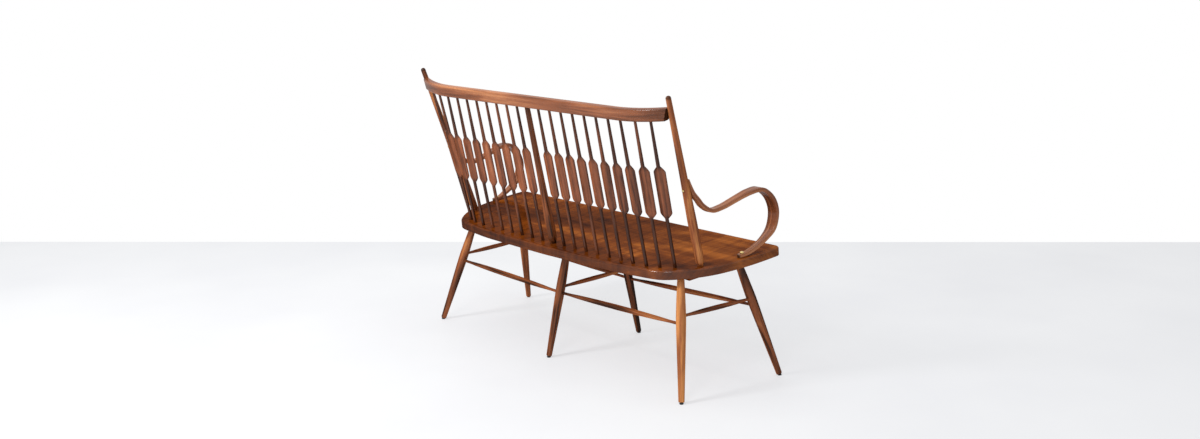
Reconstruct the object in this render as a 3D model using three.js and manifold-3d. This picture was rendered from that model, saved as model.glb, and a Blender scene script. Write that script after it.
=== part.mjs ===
// Spindle-back bench in walnut: a plank seat that falls to the back, six splayed turned legs with stretchers,
// a bent crest rail on twenty paddle spindles and three posts, and a bent scroll arm at each end.
// Sizes are millimetres and degrees, +Z is up, the front is towards -Y, and left (-X) and right (+X) are
// as seen from the front. The origin is on the floor, under the middle of the bench's box.

import * as THREE from 'three';
import { mergeVertices } from 'three/addons/utils/BufferGeometryUtils.js';
import Module from 'manifold-3d';

const wasm = await Module();
wasm.setup();

// Driving sizes

const fit = {
  clearance: 0.3, // round every tenon and screw, and between two pieces that touch
  overrun: 10, // how far a hole's cutter runs out of the face that it opens
};

const seat = {
  length: 1328,
  depth: 455,
  thickness: 30,
  frontHeight: 444.6, // top of the front edge above the floor
  slope: 5.69, // fall towards the back
  easedEdge: 8,
  cornerRadius: 21,
  tenonDepthShare: 0.6,
  // Half the outline, from the middle of the back round to the end, as shares of half the length and the depth
  outlineShares: [
    [0, 1], [0.46, 0.982], [0.638, 0.955], [0.754, 0.931], [0.812, 0.891], [0.863, 0.82],
    [0.907, 0.735], [0.944, 0.629], [0.97, 0.502], [0.99, 0.332], [0.9985, 0.162],
  ],
};

const cleat = {
  width: 47,
  thickness: 18,
  chamfer: 3,
  legGap: 4.5, // from the end of the cleat to each leg
};

const leg = {
  diameter: 32.4, // at its thickest, where the stretchers meet it
  // Along the leg from the floor to the seat, and the diameter there
  profileShares: [[0, 0.586], [0.33, 0.815], [0.56, 0.963], [0.655, 1], [0.75, 0.947], [1, 0.68]],
  // Where each leg enters the seat, from the seat's end and edge, and how far its foot stands out and away
  backEnd: { fromEnd: 123, fromEdge: 110, footOut: 95.5, footAway: 88 },
  frontEnd: { fromEnd: 102, fromEdge: 106.5, footOut: 100, footAway: 118 },
  backMiddle: { fromEdge: 107, footAway: 90 },
  frontMiddle: { fromEdge: 101.5, footAway: 101 },
};

const stretcher = {
  diameter: 18.4, // in the middle of a long one
  crossDiameter: 16.5,
  tenonDiameter: 10,
  tenonDepthShare: 0.37, // of the leg's diameter
  // Along the free length, from the tenon to the middle, and how far the diameter has swelled there
  swellShares: [[0.04, 0], [0.14, 0.4], [0.3, 0.8], [0.5, 1]],
  // Heights above the floor on the legs' axes
  longHeights: { backEnd: 235, backMiddle: 224, frontEnd: 242, frontMiddle: 217 },
  crossHeights: { backEnd: 258, frontEnd: 265, backMiddle: 242, frontMiddle: 253 },
};

const glide = {
  diameter: 13.5,
  height: 5,
  chamfer: 1,
  stemDiameter: 5,
  stemLength: 13,
  legRounding: 2.6, // of the leg's end, just above the glide
};

const back = {
  lean: 12.9,
  height: 487.6, // along the lean, from the seat to the crest rail
  inset: 45, // from the seat's back edge to the row of spindles
  postInset: 76, // from the seat's end to the end post
  sweep: 108.5, // how far the row comes forward at the end posts
  sweepPower: 2.6,
  sweepStartShare: 0.667, // of the way to the end post
};

const crest = {
  seatInset: 48, // of its end from the seat's end, along the bench
  height: 40,
  thickness: 22,
  edgeRadius: 5,
  sweep: 37.8, // how far the ends bend forward
  lift: 3, // and upward
  bendPower: 2,
  bendStartShare: 0.7, // of half the length
  endSlant: 12, // how much longer the rail is along its top edge, at each end
  tenonDepthShare: 0.4, // of the spindles' tenons, of the rail's height
  endTenonDiameter: 9,
};

const endPost = {
  diameter: 29.4,
  crestOutset: 9, // of its axis from the crest rail's end, outwards
  crestOffset: 8, // of its axis from the crest rail's middle line, forwards
  rise: 37, // above the crest rail
  mortisePast: 3, // how far the crest rail's tenon goes past the axis
  profileShares: [
    [0, 0.65], [0.009, 0.65], [0.016, 0.84], [0.03, 0.93], [0.12, 0.985], [0.25, 1], [0.38, 0.925],
    [0.533, 0.803], [0.747, 0.68], [0.95, 0.585], [0.984, 0.565], [0.993, 0.48], [1, 0.2],
  ],
};

const centrePost = {
  diameter: 30.5,
  profileShares: [
    [0, 0.69], [0.009, 0.69], [0.022, 0.83], [0.05, 0.95], [0.09, 1], [0.19, 0.985],
    [0.28, 0.9], [0.373, 0.805], [0.6, 0.69], [1, 0.574],
  ],
};

const spindle = {
  evenCount: 8, // at an even pitch from the centre post, before the closer outer ones
  evenSeatShare: 0.0959, // pitch, as a share of the way to the end post
  evenCrestShare: 0.0906, // pitch, as a share of half the crest rail
  outerSeatShares: [0.842, 0.91],
  outerCrestShares: [0.821, 0.9104],
  lowerDiameter: 11.5,
  upperDiameter: 12,
  topDiameter: 8.7,
  paddleWidth: 40.5,
  paddleThickness: 11.5,
  paddleEdge: 6, // thickness left at the bevelled edges
  paddleRidge: 9, // width of the flat between the bevels
  shoulder: 19,
  shoulderShare: 0.6, // of the way out to the paddle's edge, halfway along the shoulder
  paddleStartShare: 0.345,
  paddleEndShare: 0.7,
};

const arm = {
  rise: 248, // of the joint on the end post, above the seat
  reach: 326, // from that joint to the front of the scroll
  flare: 46.5, // from that joint outwards to the widest place
  width: 42,
  thickness: 13,
  edge: 2.2, // chamfer along the four edges
  tipLength: 45, // of the thin end that lies up the post, above the joint
  screwAbove: 18, // of the screw on the post, above the joint
  cope: 1.5, // how far the tip is hollowed to fit the round post
  tipShares: [0.35, 0.45], // width and thickness at the upper end
  jointShares: [0.56, 1], // the same at the joint
  // Shares of the reach, rise and flare, then of the width and thickness, from the joint to the foot
  pathShares: [
    [0.058, 0.881, 0.14, 0.52, 1], [0.09, 0.807, 0.247, 0.566, 1], [0.193, 0.709, 0.355, 0.631, 1],
    [0.332, 0.712, 0.462, 0.659, 1], [0.468, 0.749, 0.548, 0.701, 1], [0.588, 0.785, 0.634, 0.761, 1],
    [0.677, 0.812, 0.763, 0.854, 1], [0.818, 0.813, 0.871, 0.956, 1], [0.889, 0.751, 0.957, 0.994, 1],
    [0.96, 0.637, 1, 0.994, 1], [1, 0.46, 1, 0.966, 1], [0.957, 0.252, 0.978, 0.901, 1],
    [0.86, 0.141, 0.92, 0.687, 1], [0.703, 0.044, 0.83, 0.52, 1], [0.6, 0.005, 0.7, 0.464, 0.95],
  ],
  footShares: [[0.537, 0, 0.645, 0.446, 0.92], [0.519, 0, 0.636, 0.353, 0.9], [0.51, 0, 0.632, 0.149, 0.88]],
  footScrewShare: 0.567,
  stepsPerControl: 2,
};

const screw = {
  shankDiameter: 4.4,
  domeHeightShare: 0.32, // of the head's diameter
  // Rings of the dome, up its height and out from its axis, as shares of its height and of its radius
  domeShares: [[0, 1], [0.5, 0.9], [0.85, 0.5], [1, 0.25]],
  tipShare: 0.5, // of the shank's radius
  footHeadDiameter: 14.5,
  postHeadDiameter: 9,
  footBite: 14, // into the seat
  armBiteShare: 0.6, // of the arm's thickness
};

const sides = { leg: 14, post: 14, stretcher: 10, glide: 12, screw: 10 };
const cornerSteps = 3;
const outlineSteps = 2;
const crestSteps = 7;

const ends = [['left', -1], ['right', 1]];
const X = new THREE.Vector3(1, 0, 0);
const Y = new THREE.Vector3(0, 1, 0);

// Materials

function walnut(color) {
  return new THREE.MeshStandardMaterial({ color, roughness: 0.42, metalness: 0 });
}

const finishes = {
  seat: () => walnut(0x8c4b25),
  turned: () => walnut(0x96562f),
  spindle: () => walnut(0x84503a),
  brass: () => new THREE.MeshStandardMaterial({ color: 0xcdbb7c, roughness: 0.25, metalness: 1 }),
  glide: () => new THREE.MeshStandardMaterial({ color: 0x1b1715, roughness: 0.8, metalness: 0 }),
};

// Solids, cuts and placing

// Joins rings of points that run anticlockwise about the way they advance, and closes both ends with fans.
function loft(rings) {
  const count = rings[0].length;
  const corners = rings.flat();
  const middles = [rings[0], rings.at(-1)].map((ring) =>
    ring.reduce((sum, point) => sum.add(point), new THREE.Vector3()).divideScalar(count));
  const faces = [];
  rings.slice(1).forEach((ring, row) => {
    ring.forEach((point, i) => {
      const low = row * count;
      const high = low + count;
      const next = (i + 1) % count;
      faces.push(low + i, low + next, high + next, low + i, high + next, high + i);
    });
  });
  const last = (rings.length - 1) * count;
  rings[0].forEach((point, i) => {
    const next = (i + 1) % count;
    faces.push(corners.length, next, i, corners.length + 1, last + i, last + next);
  });
  const geometry = new THREE.BufferGeometry().setFromPoints([...corners, ...middles]);
  geometry.setIndex(faces);
  geometry.computeVertexNormals();
  return geometry;
}

// A turned solid about Y from [distance along, radius] places.
function turned(profile, count) {
  const outline = profile.map(([along, radius]) => new THREE.Vector2(radius, along));
  const first = new THREE.Vector2(0, outline[0].y);
  const last = new THREE.Vector2(0, outline.at(-1).y);
  return new THREE.LatheGeometry([first, ...outline, last], count);
}

function peg(from, to, diameter, count) {
  return turned([[from, diameter / 2], [to, diameter / 2]], count);
}

function profileOf(length, diameter, shares) {
  return shares.map(([place, share]) => [place * length, share * diameter / 2]);
}

function radiusAt(profile, along) {
  const i = Math.max(1, profile.findIndex(([place]) => place >= along));
  const [from, fromRadius] = profile[i - 1];
  const [to, toRadius] = profile[i];
  return fromRadius + (toRadius - fromRadius) * (along - from) / (to - from);
}

function grown(profile, extra) {
  return profile.map(([along, radius]) => [along, radius + extra]);
}

// The straight line of a turned piece, with the place that lays its Y axis along the line.
function lineFrom(start, end) {
  const direction = end.clone().sub(start).normalize();
  const turn = new THREE.Quaternion().setFromUnitVectors(Y, direction);
  return {
    direction,
    length: start.distanceTo(end),
    place: new THREE.Matrix4().compose(start, turn, new THREE.Vector3(1, 1, 1)),
    at: (along) => start.clone().addScaledVector(direction, along),
  };
}

function solidOf(geometry, place) {
  const plain = geometry.clone().applyMatrix4(place);
  plain.deleteAttribute('normal');
  plain.deleteAttribute('uv');
  const merged = mergeVertices(plain);
  return new wasm.Manifold(new wasm.Mesh({
    numProp: 3,
    vertProperties: merged.attributes.position.array,
    triVerts: new Uint32Array(merged.index.array),
  }));
}

// Takes cutters of the form { geometry, place } out of a geometry that stands at its own place, then joins
// tenons of the same form to it.
function worked(geometry, place, cutters, tenons) {
  const home = place.clone().invert();
  const atHome = (tool) => solidOf(tool.geometry, home.clone().multiply(tool.place));
  const hollowed = cutters.reduce((solid, cutter) => solid.subtract(atHome(cutter)),
    solidOf(geometry, new THREE.Matrix4()));
  const mesh = tenons.reduce((solid, tenon) => solid.add(atHome(tenon)), hollowed).getMesh();
  const result = new THREE.BufferGeometry();
  result.setAttribute('position', new THREE.BufferAttribute(mesh.vertProperties, 3));
  result.setIndex(new THREE.BufferAttribute(mesh.triVerts, 1));
  result.computeVertexNormals();
  return result;
}

const bench = new THREE.Group();

function add(name, geometry, finish, place, cutters = [], tenons = []) {
  const shape = cutters.length ? worked(geometry, place, cutters, tenons) : geometry;
  const mesh = new THREE.Mesh(shape, finish());
  mesh.name = name;
  mesh.applyMatrix4(place);
  bench.add(mesh);
}

// Places on the seat and on the crest rail

const lean = THREE.MathUtils.degToRad(back.lean);
const seatPlace = new THREE.Matrix4().makeRotationX(-THREE.MathUtils.degToRad(seat.slope))
  .setPosition(0, 0, seat.frontHeight);
const postX = seat.length / 2 - back.postInset;
const crestHalf = seat.length / 2 - crest.seatInset; // half the crest rail's length

// A point of the seat: across, back from the front edge, and above its top.
function onSeat(x, y, above) {
  return new THREE.Vector3(x, y, above).applyMatrix4(seatPlace);
}

// How far a curve has swept at x, when it starts at a share of the way to its full sweep.
function swept(x, fullX, sweep, startShare, power) {
  const way = (Math.abs(x) / fullX - startShare) / (1 - startShare);
  return sweep * Math.max(0, way) ** power;
}

function rowPoint(x) {
  const y = seat.depth - back.inset - swept(x, postX, back.sweep, back.sweepStartShare, back.sweepPower);
  return onSeat(x, y, 0);
}

const crestPlace = new THREE.Matrix4().makeRotationX(-lean)
  .setPosition(rowPoint(0).add(new THREE.Vector3(0, Math.sin(lean), Math.cos(lean)).multiplyScalar(back.height)));

// A point of the crest rail: across, back from its bent middle line, and above its underside.
function onCrest(x, y, above) {
  const forward = swept(x, crestHalf, crest.sweep, crest.bendStartShare, crest.bendPower);
  const up = swept(x, crestHalf, crest.lift, crest.bendStartShare, crest.bendPower);
  return new THREE.Vector3(x, y - forward, above + up).applyMatrix4(crestPlace);
}

// The way that the crest rail runs at x.
function crestRun(x) {
  const step = fit.clearance;
  return onCrest(x + step, 0, 0).sub(onCrest(x - step, 0, 0)).normalize();
}

// Legs, glides and stretchers

function legLine(x, y, outwards, away) {
  const top = onSeat(x, y, -seat.thickness);
  const foot = new THREE.Vector3(top.x + outwards, top.y + away, 0);
  const line = lineFrom(foot, top);
  line.profile = profileOf(line.length, leg.diameter, leg.profileShares);
  line.atHeight = (height) => height / line.direction.z;
  line.tenonDepth = seat.tenonDepthShare * seat.thickness;
  line.tenonRadius = line.profile.at(-1)[1];
  return line;
}

const legs = {};
for (const [row, edge, way] of [['back', seat.depth, 1], ['front', 0, -1]]) {
  const end = leg[row + 'End'];
  const middle = leg[row + 'Middle'];
  for (const [side, hand] of ends) {
    const x = hand * (seat.length / 2 - end.fromEnd);
    legs[row + '_' + side] = legLine(x, edge - way * end.fromEdge, hand * end.footOut, way * end.footAway);
  }
  legs[row + '_middle'] = legLine(0, edge - way * middle.fromEdge, 0, way * middle.footAway);
}

// A stretcher between heights on two legs' axes, with a tenon in each leg.
function stretcherLine(fromLeg, fromHeight, toLeg, toHeight, diameter) {
  const alongs = [fromLeg.atHeight(fromHeight), toLeg.atHeight(toHeight)];
  const line = lineFrom(fromLeg.at(alongs[0]), toLeg.at(alongs[1]));
  const radii = [radiusAt(fromLeg.profile, alongs[0]), radiusAt(toLeg.profile, alongs[1])];
  const tenonRadius = stretcher.tenonDiameter / 2;
  const depth = stretcher.tenonDepthShare * leg.diameter;
  const from = radii[0];
  const free = line.length - radii[0] - radii[1];
  const half = stretcher.swellShares.map(([place, share]) =>
    [from + place * free, tenonRadius + share * (diameter / 2 - tenonRadius)]);
  const otherHalf = stretcher.swellShares.slice(0, -1).reverse().map(([place, share]) =>
    [from + (1 - place) * free, tenonRadius + share * (diameter / 2 - tenonRadius)]);
  const tenonEnds = [from - depth, line.length - radii[1] + depth];
  line.profile = [[tenonEnds[0], tenonRadius], ...half, ...otherHalf, [tenonEnds[1], tenonRadius]];
  const holeDiameter = stretcher.tenonDiameter + 2 * fit.clearance;
  line.fromHole = {
    geometry: peg(tenonEnds[0] - fit.clearance, from + fit.overrun, holeDiameter, sides.stretcher),
    place: line.place,
  };
  line.toHole = {
    geometry: peg(line.length - radii[1] - fit.overrun, tenonEnds[1] + fit.clearance, holeDiameter, sides.stretcher),
    place: line.place,
  };
  return line;
}

const stretchers = {};
const { longHeights, crossHeights } = stretcher;
for (const row of ['back', 'front']) {
  for (const [side] of ends) {
    stretchers[row + '_' + side] = stretcherLine(legs[row + '_' + side], longHeights[row + 'End'],
      legs[row + '_middle'], longHeights[row + 'Middle'], stretcher.diameter);
  }
}
for (const side of ['left', 'middle', 'right']) {
  const place = side === 'middle' ? 'Middle' : 'End';
  stretchers['cross_' + side] = stretcherLine(legs['back_' + side], crossHeights['back' + place],
    legs['front_' + side], crossHeights['front' + place], stretcher.crossDiameter);
}

function mortisesIn(row, side) {
  const atEnd = side !== 'middle';
  const long = atEnd ? [stretchers[row + '_' + side].fromHole] : ends.map(([hand]) => stretchers[row + '_' + hand].toHole);
  const cross = stretchers['cross_' + side];
  return [...long, row === 'back' ? cross.fromHole : cross.toHole];
}

const legHoles = [];
for (const row of ['back', 'front']) {
  for (const side of ['left', 'middle', 'right']) {
    const line = legs[row + '_' + side];
    const bottom = glide.height + fit.clearance;
    const tenonEnd = line.length + line.tenonDepth;
    const boreRadius = glide.stemDiameter / 2 + fit.clearance;
    const boreTop = glide.height + glide.stemLength + fit.clearance;
    const rounded = bottom + glide.legRounding;
    const outside = line.profile.filter(([along]) => along > rounded);
    const profile = [
      [boreTop, 0], [boreTop, boreRadius], [bottom, boreRadius],
      [bottom, radiusAt(line.profile, bottom) - glide.legRounding], [rounded, radiusAt(line.profile, rounded)],
      ...outside, [tenonEnd, line.tenonRadius],
    ];
    add('leg_' + row + '_' + side, turned(profile, sides.leg), finishes.turned, line.place, mortisesIn(row, side));
    const hole = peg(line.length - fit.overrun, tenonEnd + fit.clearance,
      2 * (line.tenonRadius + fit.clearance), sides.leg);
    legHoles.push({ geometry: hole, place: line.place });
    addGlide('glide_' + row + '_' + side, line);
  }
}

// A tapered plastic foot in line with its leg, cut flat by the floor, with a stem up into the leg.
function addGlide(name, line) {
  const radius = glide.diameter / 2;
  const stem = glide.stemDiameter / 2;
  const profile = [
    [-radius, radius - glide.chamfer], [0, radius - glide.chamfer], [glide.chamfer, radius],
    [glide.height, radius], [glide.height, stem], [glide.height + glide.stemLength, stem],
  ];
  const floor = {
    geometry: new THREE.BoxGeometry(4 * radius, 4 * radius, 2 * radius),
    place: new THREE.Matrix4().setPosition(line.at(0).sub(new THREE.Vector3(0, 0, radius))),
  };
  add(name, turned(profile, sides.glide), finishes.glide, line.place, [floor]);
}

for (const [name, line] of Object.entries(stretchers)) {
  add('stretcher_' + name, turned(line.profile, sides.stretcher), finishes.turned, line.place);
}

// Cleats: boards under the seat between each front leg and the back leg behind it

function addCleat(side) {
  const under = -seat.thickness - fit.clearance;
  const toSeat = seatPlace.clone().invert();
  const tops = ['front', 'back'].map((row) => {
    const line = legs[row + '_' + side];
    return line.at(line.length).applyMatrix4(toSeat);
  });
  const run = tops[1].clone().sub(tops[0]);
  const inset = legs['back_' + side].tenonRadius + cleat.legGap;
  const half = run.length() / 2 - inset;
  const outline = [
    [-cleat.width / 2, -cleat.chamfer], [-cleat.width / 2 + cleat.chamfer, 0],
    [cleat.width / 2 - cleat.chamfer, 0], [cleat.width / 2, -cleat.chamfer],
  ];
  const shape = new THREE.Shape([
    ...outline.map(([x, y]) => new THREE.Vector2(x, -cleat.thickness - y)),
    new THREE.Vector2(cleat.width / 2, 0), new THREE.Vector2(-cleat.width / 2, 0),
  ]);
  const board = new THREE.ExtrudeGeometry(shape, { depth: 2 * half, bevelEnabled: false, steps: 1 });
  board.rotateX(Math.PI / 2).translate(0, half, 0);
  const turn = new THREE.Matrix4().makeRotationZ(-Math.atan2(run.x, run.y));
  const middle = tops[0].add(tops[1]).divideScalar(2);
  const place = seatPlace.clone().multiply(turn.setPosition(middle.x, middle.y, under));
  add('cleat_' + side, board, finishes.seat, place);
}

['left', 'middle', 'right'].forEach(addCleat);

// Crest rail

function crestGeometry() {
  const bendStart = crest.bendStartShare * crestHalf;
  const depth = crest.thickness / 2;
  const radius = crest.edgeRadius;
  const section = new THREE.Path();
  section.absarc(depth - radius, crest.height - radius, radius, 0, Math.PI / 2);
  section.absarc(radius - depth, crest.height - radius, radius, Math.PI / 2, Math.PI);
  section.absarc(radius - depth, radius, radius, Math.PI, 3 * Math.PI / 2);
  section.absarc(depth - radius, radius, radius, 3 * Math.PI / 2, 2 * Math.PI);
  const points = section.getPoints(1).slice(0, -1);
  const bends = Array.from({ length: crestSteps }, (_, i) =>
    bendStart + (crestHalf - bendStart) * i / (crestSteps - 1));
  const stations = [...bends.map((x) => -x).reverse(), ...bends];
  const home = crestPlace.clone().invert();
  // Each section stands at one x, leaning over towards the ends, so it is wider than the rail is thick
  return loft(stations.map((x) => points.map((point) => {
    const slant = crest.endSlant * (point.y - crest.height / 2) / crest.height * x / crestHalf;
    return onCrest(x + slant, point.x / crestRun(x).x, point.y).applyMatrix4(home);
  })));
}

// End posts

// Where the crest rail's tenon meets a post's axis.
function crestJoint(hand) {
  return onCrest(hand * crestHalf, -endPost.crestOffset, crest.height / 2)
    .addScaledVector(X, hand * endPost.crestOutset);
}

function endPostLine(hand) {
  const foot = rowPoint(hand * postX);
  const joint = crestJoint(hand);
  const along = foot.distanceTo(joint);
  const axis = lineFrom(foot, joint);
  const line = lineFrom(foot, axis.at(along + crest.height / 2 + endPost.rise));
  line.profile = profileOf(line.length, endPost.diameter, endPost.profileShares);
  // Square to the post, towards the front
  line.forward = Y.clone().negate().addScaledVector(line.direction, line.direction.y).normalize();
  return line;
}

function withTenons(profile, footDepth, topDepth) {
  const [from, fromRadius] = profile[0];
  const [to, toRadius] = profile.at(-1);
  const top = topDepth ? [[to + topDepth, toRadius]] : [];
  return [[from - footDepth, fromRadius], ...profile, ...top];
}

const seatTenon = seat.tenonDepthShare * seat.thickness;
const crestTenon = crest.tenonDepthShare * crest.height;

// The round tenon that runs from inside the crest rail into a post, and its mortise.
function crestEndTenon(hand) {
  const start = onCrest(hand * (crestHalf - crest.thickness), 0, crest.height / 2);
  const line = lineFrom(start, crestJoint(hand));
  const end = line.length + endPost.mortisePast;
  const diameter = crest.endTenonDiameter;
  return {
    geometry: peg(0, end, diameter, sides.stretcher),
    place: line.place,
    hole: {
      geometry: peg(0, end + fit.clearance, diameter + 2 * fit.clearance, sides.stretcher),
      place: line.place,
    },
  };
}

function footHole(line, count) {
  const diameter = 2 * (line.profile[0][1] + fit.clearance);
  return { geometry: peg(-seatTenon - fit.clearance, fit.overrun, diameter, count), place: line.place };
}

// A dome-headed screw along a line from under its head to its tip, and the hole for its shank.
function domeScrew(from, to, headDiameter) {
  const line = lineFrom(to, from);
  const shank = screw.shankDiameter / 2;
  const head = headDiameter / 2;
  const dome = screw.domeHeightShare * headDiameter;
  const profile = [
    [0, screw.tipShare * shank], [shank, shank], [line.length, shank],
    ...screw.domeShares.map(([up, out]) => [line.length + up * dome, out * head]),
  ];
  const hole = peg(-fit.clearance, line.length + fit.clearance, 2 * (shank + fit.clearance), sides.screw);
  return { geometry: turned(profile, sides.screw), place: line.place, hole: { geometry: hole, place: line.place } };
}

// Arms, in the seat's own frame

const posts = Object.fromEntries(ends.map(([side, hand]) => [side, endPostLine(hand)]));

// Distance along a post at which its axis is at a height above the seat.
function postAlong(post, height) {
  const seatUp = new THREE.Vector3(0, 0, 1).transformDirection(seatPlace);
  return height / post.direction.dot(seatUp);
}

// Middle of an arm of a thickness that lies against the front of the post.
function beforePost(post, along, thickness) {
  const offset = radiusAt(post.profile, along) + fit.clearance + thickness / 2 - arm.cope;
  return post.at(along).addScaledVector(post.forward, offset);
}

function armControls(post, hand) {
  const toSeat = seatPlace.clone().invert();
  const along = postAlong(post, arm.rise);
  const ofPost = [[along + arm.tipLength, arm.tipShares], [along, arm.jointShares]];
  const [tip, joint] = ofPost.map(([place, [widthShare, thicknessShare]]) => ({
    point: beforePost(post, place, thicknessShare * arm.thickness).applyMatrix4(toSeat),
    width: widthShare * arm.width,
    thickness: thicknessShare * arm.thickness,
  }));
  const free = [...arm.pathShares, ...arm.footShares].map(([reach, rise, flare, widthShare, thicknessShare]) => {
    const thickness = thicknessShare * arm.thickness;
    const resting = fit.clearance + thickness / 2;
    return {
      point: new THREE.Vector3(joint.point.x + hand * flare * arm.flare, joint.point.y - reach * arm.reach,
        resting + rise * (joint.point.z - resting)),
      width: widthShare * arm.width,
      thickness,
    };
  });
  return [tip, joint, ...free];
}

// A flat section with chamfered edges, square to the path, with its width as near to X as it can be.
function armSection(middle, direction, width, thickness) {
  const across = X.clone().addScaledVector(direction, -direction.x).normalize();
  const through = direction.clone().cross(across);
  const w = width / 2;
  const t = thickness / 2;
  const e = Math.min(arm.edge, w / 2, t / 2);
  const corners = [
    [w, e - t], [w, t - e], [w - e, t], [e - w, t], [-w, t - e], [-w, e - t], [e - w, -t], [w - e, -t],
  ];
  return corners.map(([a, b]) => middle.clone().addScaledVector(across, a).addScaledVector(through, b));
}

function armGeometry(controls) {
  const path = new THREE.CatmullRomCurve3(controls.map(({ point }) => point));
  const sizes = new THREE.CatmullRomCurve3(
    controls.map(({ width, thickness }) => new THREE.Vector3(width, thickness, 0)), false, 'catmullrom', 0);
  const steps = arm.stepsPerControl * (controls.length - 1);
  return loft(Array.from({ length: steps + 1 }, (_, i) => {
    const size = sizes.getPoint(i / steps);
    return armSection(path.getPoint(i / steps), path.getTangent(i / steps), size.x, size.y);
  }));
}

const seatCutters = [...legHoles];
const crestCutters = [];
const crestTenons = [];

for (const [side, hand] of ends) {
  const post = posts[side];
  const controls = armControls(post, hand);
  const [, joint] = controls;

  const along = postAlong(post, arm.rise) + arm.screwAbove;
  const postRadius = radiusAt(post.profile, along);
  const behind = post.at(along).addScaledVector(post.forward, -postRadius - fit.clearance);
  const bite = postRadius + fit.clearance - arm.cope + screw.armBiteShare * joint.thickness;
  const armScrew = domeScrew(behind, post.at(along).addScaledVector(post.forward, bite), screw.postHeadDiameter);
  add('arm_post_screw_' + side, armScrew.geometry, finishes.brass, armScrew.place);

  const railTenon = crestEndTenon(hand);
  crestTenons.push(railTenon);
  add('end_post_' + side, turned(withTenons(post.profile, seatTenon, 0), sides.post), finishes.turned,
    post.place, [armScrew.hole, railTenon.hole]);
  seatCutters.push(footHole(post, sides.post));
  const postSpace = { geometry: turned(grown(post.profile, fit.clearance), sides.post), place: post.place };
  crestCutters.push(postSpace);

  const foot = controls.at(-arm.footShares.length);
  const footX = foot.point.x;
  const footY = joint.point.y - arm.footScrewShare * arm.reach;
  const footTop = fit.clearance + arm.thickness;
  const footScrew = domeScrew(onSeat(footX, footY, footTop + fit.clearance), onSeat(footX, footY, -screw.footBite),
    screw.footHeadDiameter);
  add('arm_seat_screw_' + side, footScrew.geometry, finishes.brass, footScrew.place);
  seatCutters.push(footScrew.hole);

  const seatSpace = {
    geometry: new THREE.BoxGeometry(seat.length, 2 * seat.depth, seat.thickness),
    place: seatPlace.clone().multiply(
      new THREE.Matrix4().setPosition(0, seat.depth / 2, fit.clearance - seat.thickness / 2)),
  };
  add('arm_' + side, armGeometry(controls), finishes.turned, seatPlace,
    [postSpace, seatSpace, armScrew.hole, footScrew.hole]);
}

// Centre post

const centre = lineFrom(rowPoint(0), onCrest(0, 0, 0));
centre.profile = profileOf(centre.length, centrePost.diameter, centrePost.profileShares);
add('centre_post', turned(withTenons(centre.profile, seatTenon, crestTenon), sides.post), finishes.turned,
  centre.place);
seatCutters.push(footHole(centre, sides.post));
crestCutters.push({
  geometry: peg(centre.length - fit.overrun, centre.length + crestTenon + fit.clearance,
    2 * (centre.profile.at(-1)[1] + fit.clearance), sides.post),
  place: centre.place,
});

// Spindles

// Ten points round the shaft, matched to ten points round the paddle, blended by spread from 0 to 1.
// The paddle's front is flat and level with the shaft's, and its back has a bevel along each edge.
function spindleRing(height, diameter, spread) {
  const radius = diameter / 2;
  const front = -spindle.lowerDiameter / 2;
  const half = spindle.paddleWidth / 2;
  const ridge = spindle.paddleRidge / 2;
  const flat = [
    [ridge, front], [half, front], [half, front + spindle.paddleEdge], [ridge, front + spindle.paddleThickness],
    [ridge / 2, front + spindle.paddleThickness],
  ];
  const paddle = [...flat, ...flat.map(([x, y]) => [-x, y]).reverse()];
  return paddle.map(([x, y], i) => {
    const angle = 2 * Math.PI * (i + 0.5) / paddle.length - Math.PI / 2;
    return new THREE.Vector3(
      THREE.MathUtils.lerp(radius * Math.cos(angle), x, spread),
      THREE.MathUtils.lerp(radius * Math.sin(angle), y, spread),
      height,
    );
  });
}

function addSpindle(name, foot, head, run) {
  const length = foot.distanceTo(head);
  const axis = head.clone().sub(foot).normalize();
  const through = axis.clone().cross(run).normalize();
  const place = new THREE.Matrix4().makeBasis(through.clone().cross(axis), through, axis).setPosition(foot);
  const start = spindle.paddleStartShare * length;
  const end = spindle.paddleEndShare * length;
  const { shoulder, shoulderShare, lowerDiameter, upperDiameter, topDiameter } = spindle;
  const rings = [
    [-seatTenon, lowerDiameter, 0], [start, lowerDiameter, 0],
    [start + shoulder / 2, lowerDiameter, shoulderShare], [start + shoulder, lowerDiameter, 1],
    [end - shoulder, upperDiameter, 1], [end - shoulder / 2, upperDiameter, shoulderShare],
    [end, upperDiameter, 0], [length, topDiameter, 0], [length + crestTenon, topDiameter, 0],
  ];
  add(name, loft(rings.map((ring) => spindleRing(...ring))), finishes.spindle, place);
  const hole = (from, to, diameter) => ({
    geometry: loft([from, to].map((height) => spindleRing(height, diameter + 2 * fit.clearance, 0))),
    place,
  });
  seatCutters.push(hole(-seatTenon - fit.clearance, fit.overrun, lowerDiameter));
  crestCutters.push(hole(length - fit.overrun, length + crestTenon + fit.clearance, topDiameter));
}

const evenNumbers = Array.from({ length: spindle.evenCount }, (_, i) => i + 1);
const seatShares = [...evenNumbers.map((number) => number * spindle.evenSeatShare), ...spindle.outerSeatShares];
const crestShares = [...evenNumbers.map((number) => number * spindle.evenCrestShare), ...spindle.outerCrestShares];
for (const [side, hand] of ends) {
  seatShares.forEach((seatShare, i) => {
    const headX = hand * crestShares[i] * crestHalf;
    const number = String(i + 1).padStart(2, '0');
    addSpindle('spindle_' + side + '_' + number, rowPoint(hand * seatShare * postX), onCrest(headX, 0, 0),
      crestRun(headX));
  });
}

// Seat and crest rail, cut last for everything that stands in them

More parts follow.
